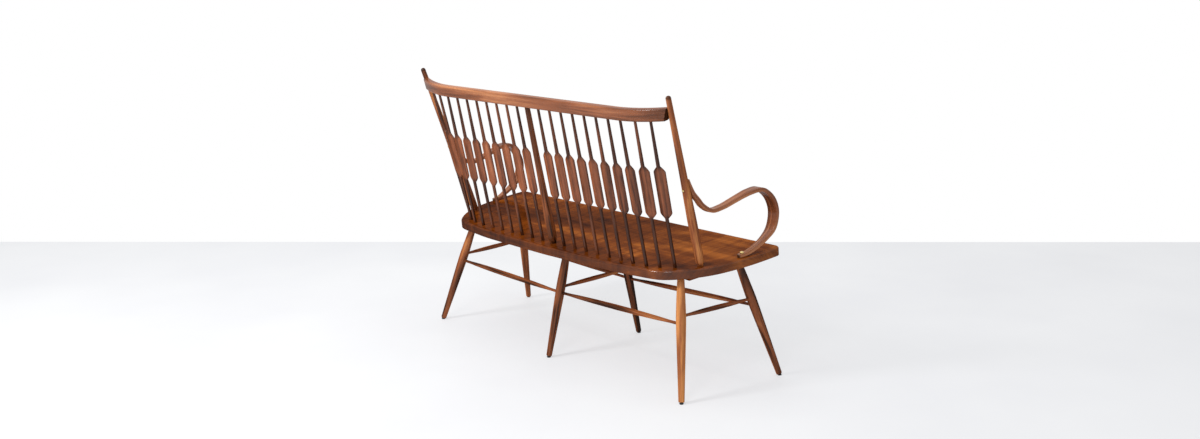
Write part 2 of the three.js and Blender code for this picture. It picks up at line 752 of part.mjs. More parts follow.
// Points of the seat's outline, anticlockwise from the middle of the front, and the way out at each.
function seatOutline() {
  const half = seat.length / 2;
  const radius = seat.cornerRadius;
  const path = new THREE.Path();
  path.moveTo(0, seat.depth);
  path.splineThru([
    ...seat.outlineShares.slice(1).map(([x, y]) => new THREE.Vector2(x * half, y * seat.depth)),
    new THREE.Vector2(half, radius),
  ]);
  path.absarc(half - radius, radius, radius, 0, -Math.PI / 2, true);
  path.lineTo(0, 0);
  const rightHalf = path.getPoints(outlineSteps).reverse();
  const leftHalf = rightHalf.slice(1, -1).reverse().map(({ x, y }) => new THREE.Vector2(-x, y));
  const points = [...rightHalf, ...leftHalf];
  return points.map((point, i) => {
    const run = points[(i + 1) % points.length].clone().sub(points.at(i - 1)).normalize();
    return { point, out: new THREE.Vector2(run.y, -run.x) };
  });
}

function seatGeometry() {
  const outline = seatOutline();
  const ring = (height, inset) => outline.map(({ point, out }) =>
    new THREE.Vector3(point.x - out.x * inset, point.y - out.y * inset, height));
  const eased = Array.from({ length: cornerSteps + 1 }, (_, i) => {
    const angle = i / cornerSteps * Math.PI / 2;
    return ring(seat.easedEdge * (Math.sin(angle) - 1), seat.easedEdge * (1 - Math.cos(angle)));
  });
  return loft([ring(-seat.thickness, 0), ...eased]);
}

add('seat', seatGeometry(), finishes.seat, seatPlace, seatCutters);
add('crest_rail', crestGeometry(), finishes.seat, crestPlace, crestCutters, crestTenons);

// The origin goes to the middle of the bench's box, on the floor.
const box = new THREE.Box3().setFromObject(bench, true);
const boxMiddle = box.getCenter(new THREE.Vector3());
bench.position.set(-boxMiddle.x, -boxMiddle.y, -box.min.z);

export default bench;
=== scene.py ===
# %% [markdown]
# # A spindle-back bench in walnut
# The bench is joined from turned, bent and sawn pieces: a plank seat, six legs with stretchers, three
# posts, twenty paddle spindles, a crest rail and two bent arms. A packed model gives the place and the size
# of every piece as a coarse solid. This lesson gives each piece its fine surface and its finish. A coarse
# solid could be smoothed with a modifier, but a round leg with a few sides would shrink, so each surface is
# worked out afresh from the bench's own sizes.

import math

import bpy
import numpy as np
from mathutils import Matrix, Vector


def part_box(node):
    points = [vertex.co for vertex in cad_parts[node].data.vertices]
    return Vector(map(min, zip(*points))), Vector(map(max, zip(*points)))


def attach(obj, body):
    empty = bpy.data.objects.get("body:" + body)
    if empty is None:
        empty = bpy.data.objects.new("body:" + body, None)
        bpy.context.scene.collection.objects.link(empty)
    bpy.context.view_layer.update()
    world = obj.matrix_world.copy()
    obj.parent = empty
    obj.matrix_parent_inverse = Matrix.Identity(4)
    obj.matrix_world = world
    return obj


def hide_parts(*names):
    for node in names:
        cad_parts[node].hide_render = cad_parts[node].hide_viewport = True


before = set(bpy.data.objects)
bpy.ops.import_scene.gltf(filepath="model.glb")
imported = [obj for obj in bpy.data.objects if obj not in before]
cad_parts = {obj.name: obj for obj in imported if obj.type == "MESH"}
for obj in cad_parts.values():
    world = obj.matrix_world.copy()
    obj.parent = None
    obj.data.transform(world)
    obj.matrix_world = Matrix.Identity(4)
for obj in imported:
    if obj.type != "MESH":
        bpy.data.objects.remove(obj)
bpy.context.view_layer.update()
print("solids in the frame:", len(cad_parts))

# %% [markdown]
# ## One place for everything
# All sizes below are millimetres in the bench's own drawing: X runs along it, Y goes back from the seat's
# front edge, and Z is height above the floor. The packed model has the same axes, but its origin is under
# the middle of the whole bench. The seat's lowest front edge is found in both, which gives the shift
# between them.

# %% Seat plane and shift
MM = 0.001
SEAT = dict(length=1328, depth=455, thickness=30, front_height=444.6, slope=5.69, eased=8, corner=21)


def turned_about_x(points, degrees):
    """Every point goes round the X axis by the angle: y and z mix as cosine and sine say."""
    c, s = math.cos(math.radians(degrees)), math.sin(math.radians(degrees))
    x, y, z = np.moveaxis(np.asarray(points, float), -1, 0)
    return np.stack([x, y * c - z * s, y * s + z * c], -1)


def on_seat(points):
    """Points given across, back from the front edge and above the seat's top, in the bench's drawing."""
    return turned_about_x(points, -SEAT["slope"]) + [0, 0, SEAT["front_height"]]


def at(*point):
    return np.array(point, float)


front_edge = on_seat(at(0, 0, -SEAT["thickness"]))
SHIFT = at(0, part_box("seat")[0].y / MM - front_edge[1], 0)
print("shift from the drawing to the frame, mm:", SHIFT.round(2))

# %% [markdown]
# ## The camera
# A camera is a place, a direction and a focal length. The picture was taken from behind the bench and past
# its left end, left being as seen from the front, a little above head height when sitting. The three axes
# below are the camera's own right, up and backward directions. The focal length is known in pixels of the
# picture, so the lens is that share of the sensor's width.

# %% Camera
PICTURE_WIDTH, FOCAL_LENGTH = 1200, 1257.3  # in pixels of the picture
SENSOR_WIDTH = 36  # in millimetres
FARTHEST = 60  # how far the camera sees, in metres

camera_place = at(-3213.3, 3115.1, 1367.6) + SHIFT
camera_axes = np.array([(-0.6728, -0.7398, 0.0002), (0.1522, -0.1381, 0.9786), (-0.7240, 0.6585, 0.2055)])
camera_data = bpy.data.cameras.new("Camera")
camera = bpy.data.objects.new("Camera", camera_data)
bpy.context.scene.collection.objects.link(camera)
camera_data.sensor_width = SENSOR_WIDTH
camera_data.lens = SENSOR_WIDTH * FOCAL_LENGTH / PICTURE_WIDTH
camera_data.clip_end = FARTHEST
turn = Matrix(camera_axes.T.tolist()).to_quaternion()
camera.matrix_world = Matrix.Translation((camera_place * MM).tolist()) @ turn.to_matrix().to_4x4()
bpy.context.scene.camera = camera
bpy.context.scene.view_settings.view_transform = "Standard"
print("camera at, m:", (camera_place * MM).round(3), "lens, mm:", round(camera_data.lens, 2))

# %% [markdown]
# ## Skins
# Nearly every piece here is a skin: rings of points, one after another along the piece, with a face between
# neighbours and a fan over each end. Drawing faces by hand would do for one piece, but a rule for all of
# them keeps every face pointing outwards. The faces are worked out as whole arrays of numbers.

# %% Skins
def skin(rings):
    """Each point is joined to its neighbours round its ring and in the next one, and each end gets a fan."""
    rows, sides = rings.shape[:2]
    i, j = np.meshgrid(np.arange(rows - 1), np.arange(sides), indexing="ij")
    k = (j + 1) % sides
    corners = [i * sides + j, i * sides + k, (i + 1) * sides + k, (i + 1) * sides + j]
    quads = np.stack(corners, -1).reshape(-1, 4)
    a = np.arange(sides)
    b = (a + 1) % sides
    last = (rows - 1) * sides
    low = np.stack([np.full(sides, rows * sides), b, a], -1)
    high = np.stack([np.full(sides, rows * sides + 1), last + a, last + b], -1)
    return quads.tolist() + low.tolist() + high.tolist()


def with_middles(rings):
    """The rings' values as one list, followed by the mean of the first ring and of the last one."""
    ends = rings[[0, -1]].mean(axis=1)
    return np.concatenate([rings.reshape(-1, *rings.shape[2:]), ends])


square = np.zeros((2, 4, 3))
print("faces of the skin on two rings of four points:", len(skin(square)))

# %% [markdown]
# ## From rings to a piece
# A piece needs more than its shape. Each point also carries its place in the wood, how far the surface cuts
# across the fibres there, and how pale the board is. On some pieces the last two also carry painted shade.
# Vertex colours could hold this, but named attributes are clearer to read in a shader. A seeded generator
# picks where on the board each piece starts, so that no two look alike and every run gives the same bench.

# %% One piece
SEEDS = np.random.default_rng(12)
# Where in its board a piece may start, in metres along, across and deep, and how far boards differ in tone
BOARD_LOW, BOARD_HIGH = [-4, -0.25, 0.06], [4, 0.25, 0.3]
TONE_RANGE = 0.04


def carry(mesh, name, kind, field, values):
    """Writes one value for each point into the mesh, under a name that the finishes read."""
    mesh.attributes.new(name, kind, "POINT").data.foreach_set(field, values.ravel().astype(np.float32))


def piece(name, node, rings, grain, finish, end_grain_and_shade=None, sharp=40, tone=0.0):
    """Makes one piece from its rings, in place of its coarse solid.

    grain holds, for each point, its place along, across and deep in the wood. The end grain value says how
    far the surface is cut across the fibres, and on the seat's sawn sides it also holds painted shade. tone
    is how pale the wood is, as one number or one for each ring, and on some pieces it also holds painted
    shade."""
    mesh = bpy.data.meshes.new(name)
    points = (with_middles(rings) + SHIFT) * MM
    mesh.from_pydata(points.tolist(), [], skin(rings))
    plain = np.zeros(rings.shape[:2])
    start = SEEDS.uniform(BOARD_LOW, BOARD_HIGH)
    board_tone = SEEDS.uniform(-TONE_RANGE, TONE_RANGE)
    carry(mesh, "grain", "FLOAT_VECTOR", "vector", with_middles(grain) * MM + start)
    carry(mesh, "end_grain_and_shade", "FLOAT", "value", with_middles(plain if end_grain_and_shade is None else end_grain_and_shade))
    carry(mesh, "tone", "FLOAT", "value", with_middles(plain + np.reshape(tone, (-1, 1)) + board_tone))
    mesh.polygons.foreach_set("use_smooth", np.ones(len(mesh.polygons), bool))
    mesh.set_sharp_from_angle(angle=math.radians(sharp))
    mesh.materials.append(FINISHES[finish])
    made = bpy.data.objects.new(name, mesh)
    bpy.context.scene.collection.objects.link(made)
    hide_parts(node)
    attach(made, "root")


print("a piece may start up to", BOARD_HIGH[0], "m along its board")

# %% [markdown]
# ## Nodes with short words
# A finish is a graph of nodes. Made one by one, each node takes several lines, and the idea gets lost among
# them. A small class with one word for each kind of node keeps a finish as short as its recipe.

# %% Screen colours
def srgb(red, green, blue):
    """The colour as seen on a screen, from 0 to 255, turned into the linear light that shaders work in."""
    seen = np.array([red, green, blue]) / 255
    linear = np.where(seen <= 0.04045, seen / 12.92, ((seen + 0.055) / 1.055) ** 2.4)
    return (*linear.tolist(), 1.0)


print("the middle grey of a screen as linear light:", round(srgb(128, 128, 128)[0], 3))

# %% Graph of a finish
class Graph:
    """A material's nodes, with a short word for each kind that the finishes need."""

    def __init__(self, name):
        self.material = bpy.data.materials.new(name)
        self.material.use_nodes = True
        self.tree = self.material.node_tree
        self.shader = self.tree.nodes["Principled BSDF"]

    def node(self, kind, **settings):
        made = self.tree.nodes.new(kind)
        for key, value in settings.items():
            setattr(made, key, value)
        return made

    def put(self, value, socket):
        if isinstance(value, bpy.types.NodeSocket):
            self.tree.links.new(value, socket)
        else:
            socket.default_value = value

    def attribute(self, name, output="Fac"):
        return self.node("ShaderNodeAttribute", attribute_name=name).outputs[output]

    def math(self, operation, a, b=0.0, clamp=False):
        made = self.node("ShaderNodeMath", operation=operation, use_clamp=clamp)
        self.put(a, made.inputs[0])
        self.put(b, made.inputs[1])
        return made.outputs[0]

    def swing(self, pattern, weight):
        """The pattern, which is about a half everywhere, as a swing about nothing with the given weight."""
        return self.math("MULTIPLY", self.math("SUBTRACT", pattern, 0.5), weight)

    def stretched(self, vector, scale):
        made = self.node("ShaderNodeVectorMath", operation="MULTIPLY")
        self.put(vector, made.inputs[0])
        made.inputs[1].default_value = scale
        return made.outputs[0]

    def noise(self, vector, detail=3.0, roughness=0.5, distortion=0.0):
        made = self.node("ShaderNodeTexNoise")
        self.put(vector, made.inputs["Vector"])
        settings = {"Scale": 1.0, "Detail": detail, "Roughness": roughness, "Distortion": distortion}
        for socket, value in settings.items():
            made.inputs[socket].default_value = value
        return made.outputs["Fac"]

    def ramp(self, factor, stops):
        made = self.node("ShaderNodeValToRGB")
        self.put(factor, made.inputs["Fac"])
        line = made.color_ramp
        while len(line.elements) < len(stops):
            line.elements.new(0.5)
        for element, (place, colour) in zip(line.elements, stops):
            element.position = place
            element.color = colour
        return made.outputs["Color"]

    def mix(self, factor, a, b):
        made = self.node("ShaderNodeMix", data_type="RGBA")
        self.put(factor, made.inputs[0])
        self.put(a, made.inputs[6])
        self.put(b, made.inputs[7])
        return made.outputs[2]

    def bump(self, height, strength, distance):
        """Tilts the shader's surface as the height says, the distance being how deep, in metres, it goes."""
        made = self.node("ShaderNodeBump")
        made.inputs["Strength"].default_value = strength
        made.inputs["Distance"].default_value = distance
        self.put(height, made.inputs["Height"])
        self.put(made.outputs["Normal"], self.shader.inputs["Normal"])


print("words for nodes:", ", ".join(word for word in vars(Graph) if not word.startswith("_")))

# %% [markdown]
# ## The figure of walnut
# Walnut is a brown wood with dark streaks, an orange cast where the light goes in, fine fibre lines and
# open pores. Its pattern runs along the board, so it has to follow each piece whichever way that leans.
# Object coordinates would run straight through the splayed legs, so the shader reads the place in the wood
# that each point carries. Growth rings are tubes round an axis some way off, bent by a noise, so flat faces
# show long arches. On the seat, paler and darker bands across the grain are painted sheen: the bands of sheen
# that a wide plank shows where its fibres rise and dip.

# %% Walnut figure
# How many waves each pattern has to a metre, along the grain, across it and deep in it
RINGS, FIBRES, PORES, SHEEN_BANDS = (0.9, 26, 26), (9, 420, 420), (55, 1500, 1500), (20, 3, 3)
# How far each pattern carries the wood from dark, at 0, to light, at 1
SWINGS = dict(streaks=1.5, clouds=0.7, rings=0.1, fibres=0.2)


def growth_rings(g, place):
    """A saw wave of the distance from an axis along the grain, with the distance distorted by a noise."""
    made = g.node("ShaderNodeTexWave", wave_type="RINGS", rings_direction="X", wave_profile="SAW")
    g.put(g.stretched(place, RINGS), made.inputs["Vector"])
    settings = {"Scale": 1.0, "Distortion": 5.0, "Detail": 2.0, "Detail Scale": 0.8}
    for socket, value in settings.items():
        made.inputs[socket].default_value = value
    return made.outputs["Fac"]


def figured(g, place, fibres, figure, contrast, painted_sheen_bands):
    """How light the wood is at each place: a half, plus the tone and painted shade, plus each pattern's
    swing.
    """
    long, wide = figure
    # The clouds are shorter than the streaks along the grain, and wider across it
    streaks = g.noise(g.stretched(place, (long, wide, wide)), distortion=1.2)
    clouds = g.noise(g.stretched(place, (2.5 * long, 0.7 * wide, 0.7 * wide)), detail=2, distortion=0.6)
    total = g.swing(streaks, SWINGS["streaks"] * contrast)
    total = g.math("ADD", total, g.swing(clouds, SWINGS["clouds"] * contrast))
    total = g.math("ADD", total, g.swing(growth_rings(g, place), SWINGS["rings"] * contrast))
    total = g.math("ADD", total, g.swing(fibres, SWINGS["fibres"]))
    # Paler and darker bands across the grain: painted sheen
    if painted_sheen_bands:
        sheen_band_pattern = g.noise(g.stretched(place, SHEEN_BANDS), detail=2, distortion=1.2)
        total = g.math("ADD", total, g.swing(sheen_band_pattern, painted_sheen_bands))
    total = g.math("ADD", total, g.attribute("tone"))
    return g.math("ADD", total, 0.5, clamp=True)


print("patterns in the wood:", ", ".join(SWINGS), "and pores")

# %% [markdown]
# ## The finish of walnut
# The figure picks a colour between three, pores and cut fibres darken it, and oil lies on it as a thin
# clear coat. The colour also carries painted shade: through the piece's tone on some pieces, and through the
# cut fibres' darkening on the seat's sawn sides. A glossy varnish would hide the fibres, so they also tilt
# the surface a little. On the broad pieces the coat fades where the surface is seen at a low angle, as it
# does through a polarising filter, because the white room would otherwise wash the seat's colour out.

# %% Walnut finish
# Where the three colours of the wood stand between the darkest place, at 0, and the lightest, at 1
DARK, MIDDLE, LIGHT = 0.12, 0.5, 0.9
# A pore is where its pattern passes the edge, and it takes on that share of a shade of the dark colour
PORE = dict(edge=0.62, steepness=5.0, share=0.55, shade=0.45)
# The same for wood that is cut right across its fibres, and for the painted shade on the seat's sawn sides
CUT_AND_SHADE = dict(share=0.75, shade=0.5)
# How rough the oiled wood is, how much that follows the fibres, and how far they tilt the surface
OILED = dict(roughness=0.3, spread=0.16, bump=0.25, depth=0.0003)


def shaded(colour, shade):
    return srgb(*(shade * np.array(colour)))


def coat(g, sheen, fade, gloss):
    """The coat's weight is the sheen, times a power of how squarely the surface faces the eye."""
    g.shader.inputs["Specular IOR Level"].default_value = 0.0
    g.shader.inputs["Coat Roughness"].default_value = gloss
    g.shader.inputs["Coat Weight"].default_value = sheen
    if fade:
        facing = g.node("ShaderNodeLayerWeight")
        facing.inputs["Blend"].default_value = 0.5
        front_on = g.math("POWER", g.math("SUBTRACT", 1.0, facing.outputs["Facing"]), fade)
        g.put(g.math("MULTIPLY", front_on, sheen), g.shader.inputs["Coat Weight"])


def walnut(name, deep, middle, light, figure, contrast=1.0, painted_sheen_bands=0.0, sheen=0.9, fade=2.0, gloss=0.2):
    """Dark, middle and light wood, mixed by the figure, then pores, end grain, roughness, bump and coat. The
    end grain also paints shade on the seat's sawn sides.

    figure is how many streaks there are to a metre, along the grain and across it. The strength of the bands
    says how much painted sheen lies in bands across the grain, where the fibres of a wide plank rise and dip."""
    g = Graph(name)
    place = g.attribute("grain", "Vector")
    fibres = g.noise(g.stretched(place, FIBRES), roughness=0.6)
    stops = zip((DARK, MIDDLE, LIGHT), (srgb(*deep), srgb(*middle), srgb(*light)))
    colour = g.ramp(figured(g, place, fibres, figure, contrast, painted_sheen_bands), list(stops))
    pores = g.math("SUBTRACT", g.noise(g.stretched(place, PORES), detail=1), PORE["edge"], clamp=True)
    pores = g.math("MULTIPLY", pores, PORE["steepness"], clamp=True)
    colour = g.mix(g.math("MULTIPLY", pores, PORE["share"]), colour, shaded(deep, PORE["shade"]))
    # Cut fibres take on the darker colour, and so does the painted shade on the seat's sawn sides
    end_grain_and_shade_colour = g.mix(CUT_AND_SHADE["share"], colour, shaded(deep, CUT_AND_SHADE["shade"]))
    g.put(g.mix(g.attribute("end_grain_and_shade"), colour, end_grain_and_shade_colour), g.shader.inputs["Base Color"])
    rough = g.math("ADD", g.math("MULTIPLY", fibres, OILED["spread"]), OILED["roughness"])
    g.put(rough, g.shader.inputs["Roughness"])
    g.bump(g.math("SUBTRACT", fibres, pores), OILED["bump"], OILED["depth"])
    coat(g, sheen, fade, gloss)
    return g.material


print("colours of the wood stand at:", DARK, MIDDLE, LIGHT)

# %% Walnut finishes
FINISHES = {
    "walnut_flat": walnut("walnut_flat", (58, 21, 4), (124, 61, 16), (200, 115, 43), (1.3, 7),
                          contrast=0.85, painted_sheen_bands=0.5, gloss=0.13),
    "walnut_turned": walnut("walnut_turned", (46, 22, 9), (147, 83, 48), (211, 140, 80), (2.4, 42),
                            sheen=0.5),
    "walnut_spindle": walnut("walnut_spindle", (64, 33, 19), (147, 84, 53), (209, 138, 94), (3.5, 50),
                             contrast=0.6, sheen=0.75),
    "walnut_bent": walnut("walnut_bent", (50, 25, 13), (139, 81, 51), (197, 131, 87), (1.8, 38),
                          contrast=0.8, sheen=0.5, fade=0, gloss=0.15),
}
print("walnut finishes:", ", ".join(FINISHES))

# %% [markdown]
# ## Brass and the feet
# The screw heads are polished brass with the faint rings that a lathe leaves. The glides are a near-black
# plastic with a fine matt grain. Both are the same all round, so plain object coordinates are enough for
# them.

# %% Brass and plastic finishes
# How much the grain changes the roughness, and how strongly it tilts the surface
UNEVEN = 0.15


def grained(name, dark, light, scale, roughness, metal, depth):
    """One colour that drifts to another with a fine noise, which also sets a faint unevenness."""
    g = Graph(name)
    place = g.node("ShaderNodeTexCoord").outputs["Object"]
    grain = g.noise(g.stretched(place, (scale, scale, scale)))
    g.put(g.ramp(grain, [(0.3, srgb(*dark)), (0.7, srgb(*light))]), g.shader.inputs["Base Color"])
    g.put(g.math("ADD", g.math("MULTIPLY", grain, UNEVEN), roughness), g.shader.inputs["Roughness"])
    g.shader.inputs["Metallic"].default_value = metal
    g.bump(grain, UNEVEN, depth)
    return g.material


FINISHES["brass"] = grained("brass", (186, 160, 96), (222, 200, 140), scale=900, roughness=0.16,
                            metal=1.0, depth=0.00005)
FINISHES["glide"] = grained("glide", (14, 12, 11), (25, 22, 20), scale=1500, roughness=0.6,
                            metal=0.0, depth=0.0001)
print("all finishes:", len(FINISHES))

# %% [markdown]
# ## Turned pieces
# Legs, stretchers and posts come off a lathe: a radius that changes along a straight line. A lathe's curve
# is smooth, so the few named diameters are joined with a curve that never swings past them, and then spun
# round the line. A stack of cones would be quicker but shows its joints in the highlights.

# %% Flowing curve
def flowing(places, values, wanted):
    """A smooth curve through the values. Its slope at each one is the harmonic mean of the slopes on either
    side, or nothing where they differ in sign, so that the curve never swings past a value."""
    x, y = np.asarray(places, float), np.asarray(values, float)
    steps = np.diff(x)
    slopes = np.diff(y) / steps
    before, after = slopes[:-1], slopes[1:]
    same = before * after > 0
    inner = np.where(same, 2 * before * after / np.where(same, before + after, 1), 0)
    m = np.concatenate([[slopes[0]], inner, [slopes[-1]]])
    i = np.clip(np.searchsorted(x, wanted, side="right") - 1, 0, len(x) - 2)
    t = np.clip((wanted - x[i]) / steps[i], 0, 1)
    return ((1 + 2 * t) * (1 - t) ** 2 * y[i] + t * (1 - t) ** 2 * steps[i] * m[i]
            + t * t * (3 - 2 * t) * y[i + 1] - t * t * (1 - t) * steps[i] * m[i + 1])


halfway = flowing([0, 1, 2], [10, 20, 20], np.array([0.5, 1.5]))
print("halfway between diameters of 10, 20 and 20:", halfway.round(1))

# %% Turned surfaces
def unit(vector):
    return vector / np.linalg.norm(vector)


def length_of(start, end):
    return float(np.linalg.norm(end - start))


def side_axes(direction):
    """Two directions square to the line: the first as near to X as can be, the second square to both."""
    across = unit(np.array([1.0, 0, 0]) - direction[0] * direction)
    return across, np.cross(direction, across)


def turning(start, direction, alongs, radii, sides=40):
    """Ring i stands at alongs[i] on the line, with points at radii[i] times each angle's cosine and sine."""
    across, deep = side_axes(direction)
    angles = np.arange(sides) * 2 * np.pi / sides
    x, y = np.outer(radii, np.cos(angles)), np.outer(radii, np.sin(angles))
    s = np.repeat(np.asarray(alongs, float)[:, None], sides, 1)
    rings = start + s[..., None] * direction + x[..., None] * across + y[..., None] * deep
    return rings, np.stack([s, x, y], -1)


ring, _ = turning(at(0, 0, 0), at(0, 0, 1), [0], [1])
print("points round a turned piece:", ring.shape[1])

# %% [markdown]
# ## Where the legs stand
# Six legs splay out from under the seat, swell to their thickest a little above the stretchers and end on
# small dark glides. The drawing says where each leg enters the seat and how far its foot stands out and
# away. Typing in both ends of each leg would work too, but then a changed seat would leave its legs behind.

# %% Leg lines
CLEARANCE = 0.3  # between pieces that only touch
INTO = 6  # how far a skin runs on into its neighbour, so that no gap shows
LEG = dict(diameter=32.4, places=[0, 0.33, 0.56, 0.655, 0.75, 1],
           shares=[0.586, 0.815, 0.963, 1, 0.947, 0.68])
LEG_ENTRIES = {
    "back_end": dict(from_end=123, from_edge=110, out=95.5, away=88),
    "front_end": dict(from_end=102, from_edge=106.5, out=100, away=118),
    "back_middle": dict(from_edge=107, away=90),
    "front_middle": dict(from_edge=101.5, away=101),
}
SIDES = {"left": -1, "middle": 0, "right": 1}


def leg_line(row, side):
    """The leg's foot on the floor and its top under the seat, from its place in the seat and its splay."""
    hand = SIDES[side]
    entry = LEG_ENTRIES[row + ("_end" if hand else "_middle")]
    edge, way = (SEAT["depth"], 1) if row == "back" else (0, -1)
    x = hand * (SEAT["length"] / 2 - entry.get("from_end", 0))
    top = on_seat(at(x, edge - way * entry["from_edge"], -SEAT["thickness"]))
    foot = at(top[0] + hand * entry.get("out", 0), top[1] + way * entry["away"], 0)
    return foot, top


def leg_radius(share):
    return flowing(LEG["places"], LEG["shares"], share) * LEG["diameter"] / 2


legs = {(row, side): leg_line(row, side) for row in ("back", "front") for side in SIDES}
print("lengths of the legs, mm:", [round(length_of(foot, top)) for foot, top in legs.values()])

# %% [markdown]
# ## Legs and glides
# Each leg is turned about its line from the floor to the underside of the seat. It runs on into the seat,
# as the real tenon does, and stops just above its glide with its end rounded over. A glide stands flat on
# the floor although its leg leans, so what would be under the floor slides up the leg's line.

# %% Legs
GLIDE = dict(diameter=13.5, height=5, chamfer=1, leg_rounding=2.6, top_edge=0.6)
# One back leg came from a paler, golden board, and the others from darker ones. The front middle leg is
# painted
# darker still: painted shade from the seat over it.
LEG_TONES_AND_SHADE = {("back", "left"): 0.24, ("back", "middle"): -0.13, ("back", "right"): -0.13,
             ("front", "left"): -0.13, ("front", "middle"): -0.33, ("front", "right"): -0.14}

bottom, rounding = GLIDE["height"] + CLEARANCE, GLIDE["leg_rounding"]
bend = np.linspace(0, np.pi / 2, 7)[:-1]
for (row, side), (foot, top) in legs.items():
    length = length_of(foot, top)
    rounded = bottom + rounding * (1 - np.cos(bend))
    alongs = np.concatenate([rounded, np.linspace(bottom + rounding, length, 54)])
    radii = leg_radius(alongs / length)
    radii[:len(bend)] -= rounding * (1 - np.sin(bend))
    alongs, radii = np.append(alongs, length + INTO), np.append(radii, radii[-1])
    rings, grain = turning(foot, unit(top - foot), alongs, radii)
    piece(f"turned_leg_{row}_{side}", f"leg_{row}_{side}", rings, grain, "walnut_turned",
          tone=LEG_TONES_AND_SHADE[row, side])
print("legs:", len(legs), "with", rings.shape[0], "rings each")

# %% Glides
bend = np.linspace(0, np.pi / 2, 6)
radius, chamfer = GLIDE["diameter"] / 2, GLIDE["chamfer"]
height, upper = GLIDE["height"], GLIDE["top_edge"]
alongs = np.concatenate([[-radius], chamfer * (1 - np.cos(bend)), [height - upper, height]])
radii = np.concatenate([[radius - chamfer], radius - chamfer * (1 - np.sin(bend)), [radius, radius - upper]])
for (row, side), (foot, top) in legs.items():
    line = unit(top - foot)
    rings, grain = turning(foot, line, alongs, radii)
    under_floor = np.minimum(rings[..., 2:], 0)
    rings = rings - under_floor / line[2] * line
    piece(f"foot_glide_{row}_{side}", f"glide_{row}_{side}", rings, grain, "glide")
print("glides:", len(legs), "of", GLIDE["diameter"], "mm")

# %% [markdown]
# ## Stretchers
# Seven thin rods tie the legs together below the middle. Each swells a little in the middle and narrows to
# a round tenon that goes into the leg. The line runs between two heights on the legs' own lines, so the
# stretcher meets both wherever the legs stand.

# %% Stretchers
STRETCHER = dict(long=18.4, cross=16.5, tenon=10, tone=-0.12, places=[0, 0.04, 0.14, 0.3, 0.5],
                 swell=[0, 0, 0.4, 0.8, 1])
HEIGHTS = {
    "long": {("back", 1): 235, ("back", 0): 224, ("front", 1): 242, ("front", 0): 217},
    "cross": {("back", 1): 258, ("front", 1): 265, ("back", 0): 242, ("front", 0): 253},
}


def on_leg(row, side, kind):
    foot, top = legs[row, side]
    height = HEIGHTS[kind][row, abs(SIDES[side])]
    return foot + (top - foot) * height / top[2]


def stretcher(name, start, end, kind):
    """The radius grows from the tenon's to the full one towards the middle, the same from both ends."""
    length = length_of(start, end)
    share = np.linspace(0, 1, 49)
    free = (share * length - LEG["diameter"] / 2) / (length - LEG["diameter"])
    inward = np.clip(np.minimum(free, 1 - free), 0, 0.5)
    swell = flowing(STRETCHER["places"], STRETCHER["swell"], inward)
    radii = (STRETCHER["tenon"] + swell * (STRETCHER[kind] - STRETCHER["tenon"])) / 2
    alongs = INTO + share * (length - 2 * INTO)
    rings, grain = turning(start, unit(end - start), alongs, radii, sides=32)
    piece(f"turned_{name}", name, rings, grain, "walnut_turned", tone=STRETCHER["tone"])
    return round(length)


lengths = []
for row in ("back", "front"):
    for side in ("left", "right"):
        start, end = on_leg(row, side, "long"), on_leg(row, "middle", "long")
        lengths.append(stretcher(f"stretcher_{row}_{side}", start, end, "long"))
for side in SIDES:
    start, end = on_leg("back", side, "cross"), on_leg("front", side, "cross")
    lengths.append(stretcher(f"stretcher_cross_{side}", start, end, "cross"))
print("stretchers between the legs' middles, mm:", lengths)

# %% [markdown]
# ## The seat
# The seat is one thick plank with a straight front, small front corners and a long curved back edge. Its
# top edge is eased to a quarter round that catches the light in a bright line. The outline is a smooth
# curve through a few named places, and the rings step up the side, over the eased edge and in across the
# top.

# %% Seat outline
OUTLINE = np.array([
    (0, 1), (0.46, 0.982), (0.638, 0.955), (0.754, 0.931), (0.812, 0.891), (0.863, 0.82), (0.907, 0.735),
    (0.944, 0.629), (0.97, 0.502), (0.99, 0.332), (0.9985, 0.162),
])


def through(points, steps):
    """A Catmull-Rom curve: each stretch leaves a point along the line between that point's two neighbours."""
    p = np.asarray(points, float)
    padded = np.concatenate([p[:1], p, p[-1:]])
    t = np.linspace(0, len(p) - 1, steps)
    i = np.minimum(t.astype(int), len(p) - 2)
    u = (t - i)[:, None]
    a, b, c, d = (padded[i + k] for k in range(4))
    m, n = (c - a) / 2, (d - b) / 2
    return ((2 * u**3 - 3 * u**2 + 1) * b + (u**3 - 2 * u**2 + u) * m
            + (3 * u**2 - 2 * u**3) * c + (u**3 - u**2) * n)


half, depth, corner = SEAT["length"] / 2, SEAT["depth"], SEAT["corner"]
back_edge = through(np.vstack([OUTLINE * [half, depth], [half, corner]]), 121)
round_it = np.linspace(0, np.pi / 2, 9)[1:]
front_corner = np.stack([half - corner + corner * np.cos(round_it), corner - corner * np.sin(round_it)], -1)
front_x = np.linspace(half - corner, 0, 25)[1:]
front = np.stack([front_x, np.zeros_like(front_x)], -1)
right_half = np.concatenate([back_edge, front_corner, front])[::-1]
outline = np.concatenate([right_half, right_half[1:-1][::-1] * [-1, 1]])
run = np.roll(outline, -1, 0) - np.roll(outline, 1, 0)
run /= np.linalg.norm(run, axis=1)[:, None]
outwards = np.stack([run[:, 1], -run[:, 0]], -1)
print("points round the seat:", len(outline))

# %% Seat
UNDER_EDGE = 1.5  # the radius of the edge round the underside
# How far in from the outline the rings on the top and on the underside stand
INNER_TOP, INNER_UNDER = [14, 30, 60, 100, 150, 205], [60, 30]
# The outline is drawn in evenly up to the first of these insets, and scaled down over the second
EVEN_INSET, SCALED_INSET = 14, 220
# The seat's tone, and the share of the dark colour on its sawn sides: end grain at the curved ends, painted
# shade along the rest
SEAT_TONE, SAWN_GRAIN_AND_SHADE = -0.05, 0.4

